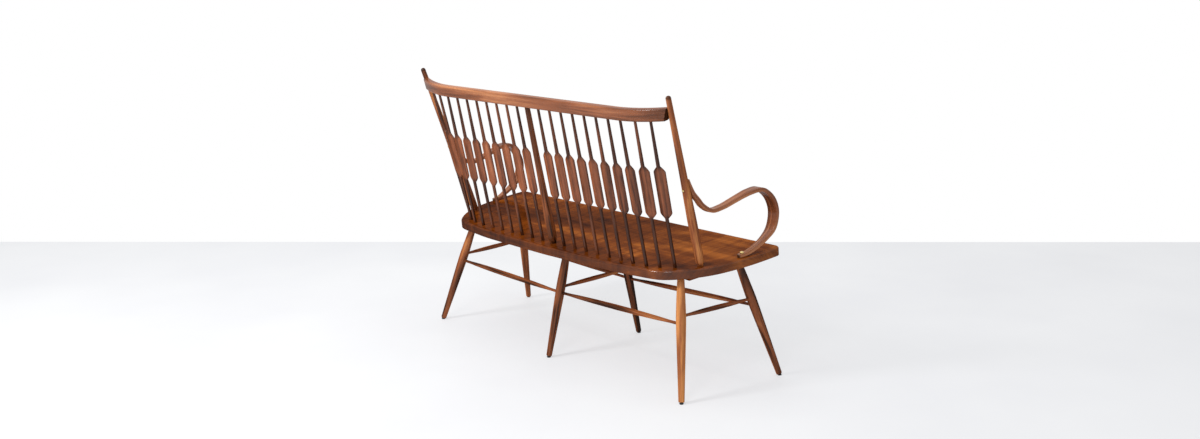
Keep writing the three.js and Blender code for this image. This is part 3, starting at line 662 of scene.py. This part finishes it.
eased, thickness = SEAT["eased"], SEAT["thickness"]
over_edge, round_under = np.linspace(0, np.pi / 2, 9), np.linspace(0, np.pi / 2, 4)
insets = np.concatenate([
    INNER_UNDER, UNDER_EDGE * (1 - np.sin(round_under)), eased * (1 - np.cos(over_edge)), INNER_TOP,
])
levels = np.concatenate([
    np.full(len(INNER_UNDER), -thickness), UNDER_EDGE * (1 - np.cos(round_under)) - thickness,
    eased * (np.sin(over_edge) - 1), np.zeros(len(INNER_TOP)),
])


def inset_outline(inset):
    """The outline drawn in by a distance; further in, it shrinks towards the middle, so it never folds."""
    near = outline - outwards * min(inset, EVEN_INSET)
    shrink = 1 - max(inset - EVEN_INSET, 0) / SCALED_INSET
    return (near - [0, depth / 2]) * shrink + [0, depth / 2]


flat_rings = np.stack([
    np.column_stack([inset_outline(inset), np.full(len(outline), level)])
    for inset, level in zip(insets, levels)
])
# The sawn sides are painted darker than the top: end grain where the outline turns round the ends, and
# painted shade along the rest of the sides
sawn = (levels < -eased / 2) & (levels > -thickness + 0.5)
sawn_grain_and_shade = np.broadcast_to(SAWN_GRAIN_AND_SHADE * sawn[:, None], flat_rings.shape[:2])
piece("plank_seat", "seat", on_seat(flat_rings), flat_rings, "walnut_flat", sawn_grain_and_shade, sharp=50,
      tone=SEAT_TONE)
print("rings from the seat's underside to its top:", len(flat_rings))

# %% [markdown]
# ## Cleats
# Under the seat a short board runs from each back leg to the front leg before it and keeps the plank flat.
# It is a plain bar with its lower edges chamfered, so its section has few corners, and the edges stay
# crisp.

# %% Cleats
CLEAT = dict(width=47, thickness=18, chamfer=3, leg_gap=4.5, end_ease=1)


def off_seat(point):
    """The seat's own across, back and above of a point in the bench's drawing."""
    return turned_about_x(point - at(0, 0, SEAT["front_height"]), SEAT["slope"])


def cleat(side):
    """The bar's section is carried along the line between two legs, in the seat's own plane."""
    front_top, back_top = (off_seat(legs[row, side][1]) for row in ("front", "back"))
    along = back_top - front_top
    length = np.linalg.norm(along)
    along, across = along / length, at(along[1], -along[0], 0) / length
    ends = LEG["shares"][-1] * LEG["diameter"] / 2 + CLEAT["leg_gap"]
    w, t, c, ease = CLEAT["width"] / 2, CLEAT["thickness"], CLEAT["chamfer"], CLEAT["end_ease"]
    section = np.array([(w, c - t), (w - c, -t), (c - w, -t), (-w, c - t), (-w, 0), (w, 0)])
    places = np.array([ends, ends + ease, length - ends - ease, length - ends])
    drawn_in = np.array([1 - 2 * ease / t, 1, 1, 1 - 2 * ease / t])
    x = drawn_in[:, None] * section[None, :, 0]
    z = drawn_in[:, None] * (section[None, :, 1] + t / 2) - t / 2
    y = np.repeat(places[:, None], len(section), 1)
    lifted = (z - CLEARANCE)[..., None] * at(0, 0, 1)
    rings = front_top + y[..., None] * along + x[..., None] * across + lifted
    grain = np.stack([y, x, z], -1)
    piece(f"board_cleat_{side}", f"cleat_{side}", on_seat(rings), grain, "walnut_flat", sharp=20)


for side in SIDES:
    cleat(side)
print("cleats:", len(SIDES), "of", CLEAT["width"], "by", CLEAT["thickness"], "mm")

# %% [markdown]
# ## The row of spindles and the rail's bend
# The posts and spindles stand in a row that follows the seat's back edge and comes forward at both ends.
# They lean back and carry a bent rail. The rail is drawn in a leaning frame of its own, with one rule for
# how far it has bent forward at each place, and everything that stands in it asks that rule.

# %% Row and rail
BACK = dict(lean=12.9, height=487.6, inset=45, post_inset=76, sweep=108.5, power=2.6, start=0.667)
CREST = dict(half=616, height=40, thickness=22, edge=5, sweep=37.8, lift=3, power=2, start=0.7, slant=12)
POST_X = SEAT["length"] / 2 - BACK["post_inset"]
LEAN = math.radians(BACK["lean"])
NEARBY = 0.3  # the distance over which the rail's direction is taken


def swept(x, full_x, sweep, start, power):
    """Nothing up to the start's share of the way, then a power of the rest, up to the full sweep."""
    way = np.clip((np.abs(x) / full_x - start) / (1 - start), 0, None)
    return sweep * way**power


def row_point(x):
    y = SEAT["depth"] - BACK["inset"] - swept(x, POST_X, BACK["sweep"], BACK["start"], BACK["power"])
    return on_seat(np.stack([x, y, np.zeros_like(y)], -1))


rail_start = row_point(np.float64(0)) + BACK["height"] * at(0, math.sin(LEAN), math.cos(LEAN))


def on_crest(x, y, above):
    """Across, back from the rail's bent middle line, and above its underside, in the bench's drawing."""
    forward = swept(x, CREST["half"], CREST["sweep"], CREST["start"], CREST["power"])
    up = swept(x, CREST["half"], CREST["lift"], CREST["start"], CREST["power"])
    leaning = np.stack(np.broadcast_arrays(x, y - forward, above + up), -1)
    return turned_about_x(leaning, -BACK["lean"]) + rail_start


def crest_run(x):
    run = on_crest(x + NEARBY, 0.0, 0.0) - on_crest(x - NEARBY, 0.0, 0.0)
    return run / np.linalg.norm(run, axis=-1, keepdims=True)


print("underside of the rail in the middle, mm above the floor:", round(float(rail_start[2]), 1))

# %% [markdown]
# ## The crest rail
# The rail is a bar with rounded edges, bent forward at its ends, where it meets the posts. A straight bar
# could be bent with a modifier, but the section carried along the rail's own rule stays true to the
# spindles that stand in it. Its ends are sawn at a slant, so it is longer along the top.

# %% Section of the rail
def rounded_bar(width, height, radius, per_corner=7, per_side=5):
    """A rectangle with quarter-round corners, anticlockwise, with points along its flat sides too."""
    corners = np.array([(1, 1), (-1, 1), (-1, -1), (1, -1)])
    turn = np.linspace(0, np.pi / 2, per_corner)
    arcs = [
        np.stack([np.cos(turn + k * np.pi / 2), np.sin(turn + k * np.pi / 2)], -1) * radius
        + corners[k] * [width / 2 - radius, height / 2 - radius]
        for k in range(4)
    ]
    t = np.linspace(0, 1, per_side + 2)[1:-1, None]
    sides = [arcs[k][-1] * (1 - t) + arcs[(k + 1) % 4][0] * t for k in range(4)]
    return np.concatenate([part for k in range(4) for part in (arcs[k], sides[k])])


section = rounded_bar(CREST["thickness"], CREST["height"], CREST["edge"]) + [0, CREST["height"] / 2]
print("points round the rail:", len(section))

# %% Crest rail
RAIL_STATIONS, END_EASE = 121, 0.04
RAIL_TONE = dict(middle=0.03, fall=0.13, drift=0.03)

stations = CREST["half"] * np.sin(np.linspace(-np.pi / 2, np.pi / 2, RAIL_STATIONS))
slanted = CREST["slant"] * (section[None, :, 1] / CREST["height"] - 0.5)
x = stations[:, None] + slanted * stations[:, None] / CREST["half"]
y = section[None, :, 0] / crest_run(stations)[:, :1]
above = np.broadcast_to(section[None, :, 1], x.shape)
rings = on_crest(x, y, above)
rail_grain = np.stack([x, above, y + 0 * x], -1)
# The last ring at each end repeats the one before it a little drawn in, which softens the sawn edge
rings = np.concatenate([rings[:1].mean(1, keepdims=True) * END_EASE + rings[:1] * (1 - END_EASE), rings,
                        rings[-1:].mean(1, keepdims=True) * END_EASE + rings[-1:] * (1 - END_EASE)])
rail_grain = np.concatenate([rail_grain[:1], rail_grain, rail_grain[-1:]])
rail_ends = np.zeros(rings.shape[:2])
rail_ends[[0, -1]] = 1
# The rail is palest in the middle and darkest at the left end
way_along = np.clip(rail_grain[:, 0, 0] / CREST["half"], -1, 1)
rail_tone = RAIL_TONE["middle"] - RAIL_TONE["fall"] * way_along**2 + RAIL_TONE["drift"] * way_along
piece("bent_crest_rail", "crest_rail", rings, rail_grain, "walnut_bent", rail_ends, sharp=50, tone=rail_tone)
print("rings along the rail:", len(rings))

# %% [markdown]
# ## Posts
# Two turned end posts stand in the seat's ends, taper upwards and pass the rail, which is tenoned into
# them. A thicker centre post ends in the rail's underside. The end posts finish in small rounded tops of
# darker end grain. They are turned like the legs, with rings set close where the shape changes fast.

# %% Post lines
UNDER_SEAT_TOP = 5  # how deep in the seat the posts' skins begin
END_POST = dict(
    diameter=29.4, outset=9, offset=8, rise=37, cap=7.5, tip=0.0025,
    places=[0, 0.009, 0.016, 0.03, 0.12, 0.25, 0.38, 0.533, 0.747, 0.95, 1],
    shares=[0.65, 0.65, 0.84, 0.93, 0.985, 1, 0.925, 0.803, 0.68, 0.585, 0.565],
)
CENTRE_POST = dict(
    diameter=30.5, places=[0, 0.009, 0.022, 0.05, 0.09, 0.19, 0.28, 0.373, 0.6, 1],
    shares=[0.69, 0.69, 0.83, 0.95, 1, 0.985, 0.9, 0.805, 0.69, 0.574],
)


def post_radius(post, share):
    return flowing(post["places"], post["shares"], share) * post["diameter"] / 2


def end_post_line(hand):
    """From the row on the seat, past the place where the rail's tenon meets it, to its rounded top."""
    foot = row_point(np.float64(hand * POST_X))
    on_rail = on_crest(hand * CREST["half"], -END_POST["offset"], CREST["height"] / 2)
    joint = on_rail + at(hand * END_POST["outset"], 0, 0)
    direction = unit(joint - foot)
    top = foot + direction * (length_of(foot, joint) + CREST["height"] / 2 + END_POST["rise"])
    return foot, top, direction


posts = {side: end_post_line(hand) for side, hand in SIDES.items() if hand}
print("lengths of the end posts, mm:", [round(length_of(foot, top)) for foot, top, _ in posts.values()])

# %% End posts
# How far below the top the end grain starts, over how many millimetres it comes in, and how far it goes
END_GRAIN = dict(start=12, over=6, share=0.95)
POST_TONE, POST_DARKENING = 0.06, 0.08

for side, (foot, top, direction) in posts.items():
    length = length_of(foot, top)
    share = np.concatenate([np.linspace(0, 0.05, 12), np.linspace(0.06, 0.98, 60), np.linspace(0.985, 1, 16)])
    alongs, radii = share * length, post_radius(END_POST, share)
    # The top is half a ball: its radius squared falls with the square of the way over the cap, to the tip
    in_cap = np.clip(alongs - length + END_POST["cap"], 0, None) / END_POST["cap"]
    radii *= np.sqrt(np.clip(1 - in_cap**2, END_POST["tip"], 1))
    alongs, radii = np.append(-UNDER_SEAT_TOP, alongs), np.append(radii[0], radii)
    rings, grain = turning(foot, direction, alongs, radii)
    cut = END_GRAIN["share"] * np.clip((alongs - length + END_GRAIN["start"]) / END_GRAIN["over"], 0, 1)
    ends = np.repeat(cut[:, None], rings.shape[1], 1)
    tone = POST_TONE - POST_DARKENING * np.append(0, share)
    piece(f"turned_end_post_{side}", f"end_post_{side}", rings, grain, "walnut_turned", ends, tone=tone)
print("end posts:", len(posts), "with", len(alongs), "rings each")

# %% Centre post
CENTRE_TONE = -0.14

foot, top = row_point(np.float64(0)), on_crest(0.0, 0.0, 0.0)
length = length_of(foot, top)
share = np.concatenate([np.linspace(0, 0.06, 14), np.linspace(0.07, 1, 60)])
alongs, radii = share * length, post_radius(CENTRE_POST, share)
alongs = np.concatenate([[-UNDER_SEAT_TOP], alongs, [length + INTO]])
radii = np.concatenate([radii[:1], radii, radii[-1:]])
rings, grain = turning(foot, unit(top - foot), alongs, radii)
piece("turned_centre_post", "centre_post", rings, grain, "walnut_turned", tone=CENTRE_TONE)
print("length of the centre post, mm:", round(length))

# %% [markdown]
# ## Paddle spindles
# Each spindle is a thin round rod that opens into a flat paddle with slanting shoulders. The paddle's front
# is flat, and its back is bevelled along both edges. Boxes and rods joined together would show a seam, so
# one skin runs the whole way: every ring blends from a circle to the paddle's section as the shoulder
# opens.

# %% Spindle section
SPINDLE = dict(
    lower=11.5, upper=12, top=8.7, width=40.5, thickness=11.5, edge=6, ridge=9, shoulder=19,
    start=0.345, end=0.7, even=8, seat_pitch=0.0959, crest_pitch=0.0906,
    outer_seat=[0.842, 0.91], outer_crest=[0.821, 0.9104],
)
PER_SIDE = 5


def paddle_section():
    """The paddle's corners joined by straight sides, then averaged along the outline to round the corners."""
    front, half, ridge = -SPINDLE["lower"] / 2, SPINDLE["width"] / 2, SPINDLE["ridge"] / 2
    back = front + SPINDLE["thickness"]
    right = [(ridge, front), (half, front), (half, front + SPINDLE["edge"]), (ridge, back), (ridge / 2, back)]
    corners = np.array(right + [(-x, y) for x, y in reversed(right)])
    t = np.linspace(0, 1, PER_SIDE, endpoint=False)[None, :, None]
    sides = corners[:, None] * (1 - t) + np.roll(corners, -1, 0)[:, None] * t
    points = sides.reshape(-1, 2)
    return 0.5 * points + 0.25 * (np.roll(points, 1, 0) + np.roll(points, -1, 0))


PADDLE = paddle_section()
# Point k of the rod's circle belongs to point k of the paddle, counted in the paddle's sides
angles = 2 * np.pi * (np.arange(len(PADDLE)) / PER_SIDE + 0.5) / (len(PADDLE) / PER_SIDE) - np.pi / 2
ROD = np.stack([np.cos(angles), np.sin(angles)], -1)
print("points round a spindle:", len(PADDLE))

# %% [markdown]
# ## From rod to paddle
# The shoulders are the spindle's own character: straight at first, then rounding into the paddle's edge. A
# power of the way along the shoulder gives that curve. The rods come out darker than the paddles, as they
# are in shade from all sides, and a lower tone along them
# brings that out.

# %% Spindles
SHOULDER_POWER, ROD_SHADE, IN_JOINT = 1.35, 0.2, 4
# The spindles' tone in the middle of the row, and the painted shade that falls towards its ends, more at the
# left
SPINDLE_TONE_AND_SHADE = dict(middle=-0.09, fall=0.1, drift=0.04)


def spindle(name, foot, head, run, tone):
    """Ring by ring, the section is the rod's circle, mixed by a spread of 0 to 1 with the paddle's own."""
    length = length_of(foot, head)
    axis = unit(head - foot)
    through_it = unit(np.cross(axis, run))
    across = np.cross(through_it, axis)
    start, end, shoulder = SPINDLE["start"] * length, SPINDLE["end"] * length, SPINDLE["shoulder"]
    opening = np.linspace(0, 1, 13)
    heights = np.concatenate([
        [-IN_JOINT], np.linspace(0, start, 14)[:-1], start + shoulder * opening,
        np.linspace(start + shoulder, end - shoulder, 12)[1:-1], end - shoulder * opening[::-1],
        np.linspace(end, length, 16)[1:], [length + IN_JOINT],
    ])
    to_edge = np.clip(1 - np.minimum(heights - start, end - heights) / shoulder, 0, 1)
    spread = np.where((heights > start) & (heights < end), 1 - to_edge**SHOULDER_POWER, 0)
    named = [SPINDLE[part] for part in ("lower", "lower", "upper", "top")]
    diameter = np.interp(heights, [0, start, end, length], named)
    rods = ROD[None] * diameter[:, None, None] / 2
    flat = rods * (1 - spread)[:, None, None] + PADDLE[None] * spread[:, None, None]
    rings = foot + heights[:, None, None] * axis + flat[..., :1] * across + flat[..., 1:] * through_it
    grain = np.concatenate([np.broadcast_to(heights[:, None, None], (*flat.shape[:2], 1)), flat], -1)
    piece(f"paddle_{name}", name, rings, grain, "walnut_spindle", sharp=14,
          tone=tone - ROD_SHADE * (1 - spread))


even = np.arange(1, SPINDLE["even"] + 1)
seat_shares = np.concatenate([even * SPINDLE["seat_pitch"], SPINDLE["outer_seat"]])
crest_shares = np.concatenate([even * SPINDLE["crest_pitch"], SPINDLE["outer_crest"]])
for side, hand in (("left", -1), ("right", 1)):
    for number, (on_row, on_rail) in enumerate(zip(seat_shares, crest_shares), 1):
        foot = row_point(np.float64(hand * on_row * POST_X))
        head_x = hand * on_rail * CREST["half"]
        # The spindles are painted darker towards both ends of the row, most at the left one: painted shade,
        # where the light reaches the row least
        tone = (SPINDLE_TONE_AND_SHADE["drift"] * hand - SPINDLE_TONE_AND_SHADE["fall"]) * on_row + SPINDLE_TONE_AND_SHADE["middle"]
        spindle(f"spindle_{side}_{number:02d}", foot, on_crest(head_x, 0.0, 0.0), crest_run(head_x), tone)
print("spindles:", 2 * len(seat_shares))

# %% [markdown]
# ## The path of a bent arm
# Each arm is one bent strip: a thin tip up against the front of the post, a dip, a long rise forwards, a
# scroll round the front and a narrow foot that runs back along the seat under a brass screw. A strip cut
# from a board would show short grain at the scroll, so the real one is steamed and bent, and its middle
# line is a smooth curve through named places. Its width and thickness change on the way.

# %% Arm shape
ARM = dict(rise=248, reach=326, flare=46.5, width=42, thickness=13, edge=3.4,
           tip=45, screw=18, cope=1.5, foot_screw=0.567)
# Shares of the width and the thickness at the tip and at the joint
ARM_TIP, ARM_JOINT = (0.35, 0.45), (0.56, 1)
# From the joint to the foot: shares of the reach, the rise and the flare, then of the width and the thickness
ARM_PATH = np.array([
    (0.058, 0.881, 0.14, 0.52, 1), (0.09, 0.807, 0.247, 0.566, 1), (0.193, 0.709, 0.355, 0.631, 1),
    (0.332, 0.712, 0.462, 0.659, 1), (0.468, 0.749, 0.548, 0.701, 1), (0.588, 0.785, 0.634, 0.761, 1),
    (0.677, 0.812, 0.763, 0.854, 1), (0.818, 0.813, 0.871, 0.956, 1), (0.889, 0.751, 0.957, 0.994, 1),
    (0.96, 0.637, 1, 0.994, 1), (1, 0.46, 1, 0.966, 1), (0.957, 0.252, 0.978, 0.901, 1),
    (0.86, 0.141, 0.92, 0.687, 1), (0.703, 0.044, 0.83, 0.52, 1), (0.6, 0.005, 0.7, 0.464, 0.95),
    (0.537, 0, 0.645, 0.446, 0.92), (0.519, 0, 0.636, 0.353, 0.9), (0.51, 0, 0.632, 0.149, 0.88),
])
seat_up = on_seat(at(0, 0, 1)) - on_seat(at(0, 0, 0))


def arm_controls(side):
    """The tip and the joint lie before the post; the rest are shares of the reach, the rise and the flare."""
    hand = SIDES[side]
    foot, top, direction = posts[side]
    forward = unit(at(0, -1, 0) + direction[1] * direction)
    joint_along = ARM["rise"] / float(direction @ seat_up)
    rows = []
    for along, (width, thin) in ((joint_along + ARM["tip"], ARM_TIP), (joint_along, ARM_JOINT)):
        radius = post_radius(END_POST, along / length_of(foot, top))
        gap = radius + CLEARANCE + thin * ARM["thickness"] / 2 - ARM["cope"]
        before_post = off_seat(foot + along * direction + gap * forward)
        rows.append((*before_post, width * ARM["width"], thin * ARM["thickness"]))
    joint = np.array(rows[1][:3])
    reach, rise, flare, width, thin = ARM_PATH.T
    thickness = thin * ARM["thickness"]
    resting = CLEARANCE + thickness / 2
    path = np.stack([joint[0] + hand * flare * ARM["flare"], joint[1] - reach * ARM["reach"],
                     resting + rise * (joint[2] - resting), width * ARM["width"], thickness], -1)
    return np.concatenate([rows, path]), joint_along


print("an arm's joint on its post, mm up the post:", round(arm_controls("left")[1]))

# %% [markdown]
# ## The strip itself
# The named places lie close together in the scroll and far apart on the rise. A curve that gave each
# stretch the same time would loop where they are close, so its pace follows the distance between them. A
# rounded bar is then carried along it, and since the wood was bent, the grain follows the curve.

# %% Curve of the strip
def chordal(points, per_stretch):
    """A curve through the points whose pace follows the square root of the distance between them, with its
    direction at each point, so that it doesn't loop where points lie close together."""
    p = np.asarray(points, float)
    padded = np.concatenate([2 * p[:1] - p[1:2], p, 2 * p[-1:] - p[-2:-1]])
    pace = np.linalg.norm(np.diff(padded, axis=0), axis=1) ** 0.5
    t = np.linspace(0, len(p) - 1, (len(p) - 1) * per_stretch + 1)
    i = np.minimum(t.astype(int), len(p) - 2)
    u = (t - i)[:, None]
    a, b, c, d = (padded[i + k] for k in range(4))
    da, db, dc = (pace[i + k][:, None] for k in range(3))
    m = ((b - a) / da - (c - a) / (da + db) + (c - b) / db) * db
    n = ((c - b) / db - (d - b) / (db + dc) + (d - c) / dc) * db
    curve = ((2 * u**3 - 3 * u**2 + 1) * b + (u**3 - 2 * u**2 + u) * m
             + (3 * u**2 - 2 * u**3) * c + (u**3 - u**2) * n)
    way = (6 * u**2 - 6 * u) * (b - c) + (3 * u**2 - 4 * u + 1) * m + (3 * u**2 - 2 * u) * n
    return curve, way / np.linalg.norm(way, axis=1)[:, None], t


bowed, _, _ = chordal([(0, 0), (2, 1), (4, 0)], 2)
print("a curve through three places, at every half stretch:", bowed.round(2).tolist())

# %% Arms
PER_STRETCH = 10  # steps from one named place to the next
SOFTEST = 2.2  # the thinner side, in radii of the edge, is at least this
# How far from its end the foot's end grain starts, and over how many millimetres it comes in
ARM_END = dict(start=5, over=4)
# The arm's plain tone, and the painted shade inside the scroll: how dark, where along the strip, and how far
# it spreads
ARM_TONE_AND_SHADE = dict(plain=0.12, dark=0.3, place=0.6, spread=0.13)


def out_of_post(points, side):
    """Points of the tip that would be inside the round post move straight out to its surface."""
    foot, top, direction = posts[side]
    along = (points - foot) @ direction
    radial = points - foot - along[..., None] * direction
    distance = np.linalg.norm(radial, axis=-1, keepdims=True)
    radius = post_radius(END_POST, np.clip(along / length_of(foot, top), 0, 1))[..., None] + CLEARANCE
    return points + radial / distance * np.clip(radius - distance, 0, None)


for side in posts:
    controls, _ = arm_controls(side)
    curve, way, t = chordal(controls[:, :3], PER_STRETCH)
    width, thickness = (flowing(np.arange(len(controls)), controls[:, column], t) for column in (3, 4))
    across = at(1, 0, 0) - way[:, :1] * way
    across /= np.linalg.norm(across, axis=1)[:, None]
    through_it = np.cross(way, across)
    # Where the strip is thin, the rounding leaves a little of its flat side
    soft = np.minimum(ARM["edge"], np.minimum(width, thickness) / SOFTEST)
    bars = np.stack([
        rounded_bar(wide, thick, radius, per_corner=6, per_side=3)
        for wide, thick, radius in zip(width, thickness, soft)
    ])
    rings = curve[:, None] + bars[..., :1] * across[:, None] + bars[..., 1:] * through_it[:, None]
    # The underside of the foot lies flat on the seat
    rings[..., 2] = np.maximum(rings[..., 2], CLEARANCE)
    s = np.concatenate([[0], np.cumsum(np.linalg.norm(np.diff(curve, axis=0), axis=1))])
    grain = np.concatenate([np.broadcast_to(s[:, None, None], (*bars.shape[:2], 1)), bars], -1)
    cut = np.clip((s - s[-1] + ARM_END["start"]) / ARM_END["over"], 0, 1)
    ends = np.repeat(cut[:, None], bars.shape[1], 1)
    # The strip is painted darker where the scroll begins: painted shade on the inside of the scroll, which
    # faces down and back
    beside = (s / s[-1] - ARM_TONE_AND_SHADE["place"]) / ARM_TONE_AND_SHADE["spread"]
    tone = ARM_TONE_AND_SHADE["plain"] - ARM_TONE_AND_SHADE["dark"] * np.exp(-beside**2)
    piece(f"bent_arm_{side}", f"arm_{side}", out_of_post(on_seat(rings), side), grain, "walnut_bent", ends,
          sharp=60, tone=tone)
print("length of the bent strip, mm:", round(float(s[-1])))

# %% [markdown]
# ## Brass screws
# A domed brass head holds each arm down to the seat, and a smaller one behind each post holds the arm's
# tip. Only the heads show. A dome on a short straight rim is a turned shape too, so the same rule makes it.

# %% Screws
SCREW = dict(foot_head=14.5, post_head=9, dome=0.32, rim=0.4, sunk=1, sunk_share=0.4)


def screw_head(name, under, direction, diameter):
    """A rim, then a dome whose radius falls as the cosine while its height rises as the sine."""
    rise, rim = SCREW["dome"] * diameter, SCREW["rim"]
    angle = np.linspace(0, np.pi / 2 - 0.02, 12)
    alongs = np.concatenate([[-SCREW["sunk"], 0], rim + (rise - rim) * np.sin(angle)])
    radii = diameter / 2 * np.concatenate([[SCREW["sunk_share"], 1], np.cos(angle)])
    rings, grain = turning(under, direction, alongs, radii)
    piece(f"brass_{name}", name, rings, grain, "brass", sharp=30)


for side, (foot, top, direction) in posts.items():
    controls, along = arm_controls(side)
    along += ARM["screw"]
    back_of_joint = controls[1, 1] - ARM["foot_screw"] * ARM["reach"]
    over_foot = on_seat(at(controls[-3, 0], back_of_joint, 2 * CLEARANCE + ARM["thickness"]))
    screw_head(f"arm_seat_screw_{side}", over_foot, seat_up, SCREW["foot_head"])
    backward = unit(at(0, 1, 0) - direction[1] * direction)
    out = post_radius(END_POST, along / length_of(foot, top)) + CLEARANCE
    behind = foot + along * direction + out * backward
    screw_head(f"arm_post_screw_{side}", behind, backward, SCREW["post_head"])
print("brass heads:", 2 * len(posts))

# %% [markdown]
# ## Floor
# The bench stands on a plain pale floor, and the floor's far edge is laid square to the view, so it looks
# level. To the camera it is part backdrop, so that the shadows on it stay as faint as in a room lit from
# all sides. A shadow-catching plane would need a compositor to put the white behind it.

# %% Floor
FLOOR = dict(near=0.3, far=5.98, half_width=6, roughness=0.6, backdrop=0.6)

level_view = unit(-camera_axes[2] * [1, 1, 0])
level_right = np.cross(level_view, [0, 0, 1])
under_camera = camera_place * MM * [1, 1, 0]
near, far, wide = FLOOR["near"], FLOOR["far"], FLOOR["half_width"]
corners = [
    under_camera + ahead * level_view + aside * level_right
    for ahead, aside in ((near, -wide), (near, wide), (far, wide), (far, -wide))
]
floor_mesh = bpy.data.meshes.new("floor")
floor_mesh.from_pydata([corner.tolist() for corner in corners], [], [(0, 1, 2, 3)])
floor = bpy.data.objects.new("floor", floor_mesh)
bpy.context.scene.collection.objects.link(floor)

pale = Graph("pale_floor")
on_floor = pale.node("ShaderNodeTexCoord").outputs["Object"]
drift = pale.noise(pale.stretched(on_floor, (1.2, 1.2, 1.2)))
paint = pale.ramp(drift, [(0.3, srgb(243, 244, 247)), (0.7, srgb(249, 250, 252))])
pale.put(paint, pale.shader.inputs["Base Color"])
pale.shader.inputs["Roughness"].default_value = FLOOR["roughness"]
backdrop = pale.node("ShaderNodeEmission")
pale.put(paint, backdrop.inputs["Color"])
either = pale.node("ShaderNodeMixShader")
seen = pale.node("ShaderNodeLightPath").outputs["Is Camera Ray"]
pale.put(pale.math("MULTIPLY", seen, FLOOR["backdrop"]), either.inputs[0])
pale.put(pale.shader.outputs["BSDF"], either.inputs[1])
pale.put(backdrop.outputs["Emission"], either.inputs[2])
pale.put(either.outputs["Shader"], pale.tree.nodes["Material Output"].inputs["Surface"])
floor_mesh.materials.append(pale.material)
print("floor in front of the camera, m:", FLOOR["near"], "to", FLOOR["far"])

# %% [markdown]
# ## Lamps
# Three soft lamps keep the shadows faint, as in a bright room: a window behind the bench, which picks out
# the paddles' edges, a broad ceiling and a skylight nearer to the camera. One strong lamp would be simpler
# but would leave the legs' far sides black.

# %% Lamps
# Each lamp's place, the height over the floor's middle that it faces, its size, all in metres, and its watts
LAMPS = {
    "window": ((0.75, 3.1, 2.5), 0.5, 0.8, 80),
    "ceiling": ((0.6, 0.2, 3.4), 0.4, 3.0, 30),
    "skylight": ((-1.5, 2.4, 2.9), 0.5, 0.9, 22),
}


def lamp(name, place, target_height, size, power):
    """A square lamp whose back points straight away from its target."""
    data = bpy.data.lights.new(name, "AREA")
    data.size, data.energy = size, power
    made = bpy.data.objects.new(name, data)
    bpy.context.scene.collection.objects.link(made)
    back = unit(np.array(place, float) - [0, 0, target_height])
    right = unit(np.cross([0, 0, 1.0], back))
    axes = np.stack([right, np.cross(back, right), back], -1)
    made.matrix_world = Matrix.Translation(place) @ Matrix(axes.tolist()).to_4x4()


for name, settings in LAMPS.items():
    lamp(name, *settings)
print("lamps:", ", ".join(LAMPS))

# %% [markdown]
# ## The room's white
# The white behind the bench comes from the world's colour as the camera, the gloss and clear things see it.
# To the wood itself the world is dimmer, so the background adds no more light than a room does. A white
# wall would do the same, but it would have to be lit.

# %% World
ROOM_LIGHT, WHITE = 0.45, 1.0

world = bpy.data.worlds.new("room")
bpy.context.scene.world = world
world.use_nodes = True
tree = world.node_tree
light_path = tree.nodes.new("ShaderNodeLightPath")
sky = tree.nodes["Background"]
sky.inputs["Color"].default_value = (1, 1, 1, 1)
plain = light_path.outputs["Is Camera Ray"]
for kind in ("Is Glossy Ray", "Is Transmission Ray"):
    either = tree.nodes.new("ShaderNodeMath")
    either.operation = "MAXIMUM"
    tree.links.new(plain, either.inputs[0])
    tree.links.new(light_path.outputs[kind], either.inputs[1])
    plain = either.outputs[0]
level = tree.nodes.new("ShaderNodeMapRange")
level.inputs["To Min"].default_value = ROOM_LIGHT
level.inputs["To Max"].default_value = WHITE
tree.links.new(plain, level.inputs["Value"])
tree.links.new(level.outputs["Result"], sky.inputs["Strength"])
print("light of the room on the wood:", ROOM_LIGHT)

# %% [markdown]
# ## Sizes
# The finished surfaces have to fill the same box as the coarse solids.
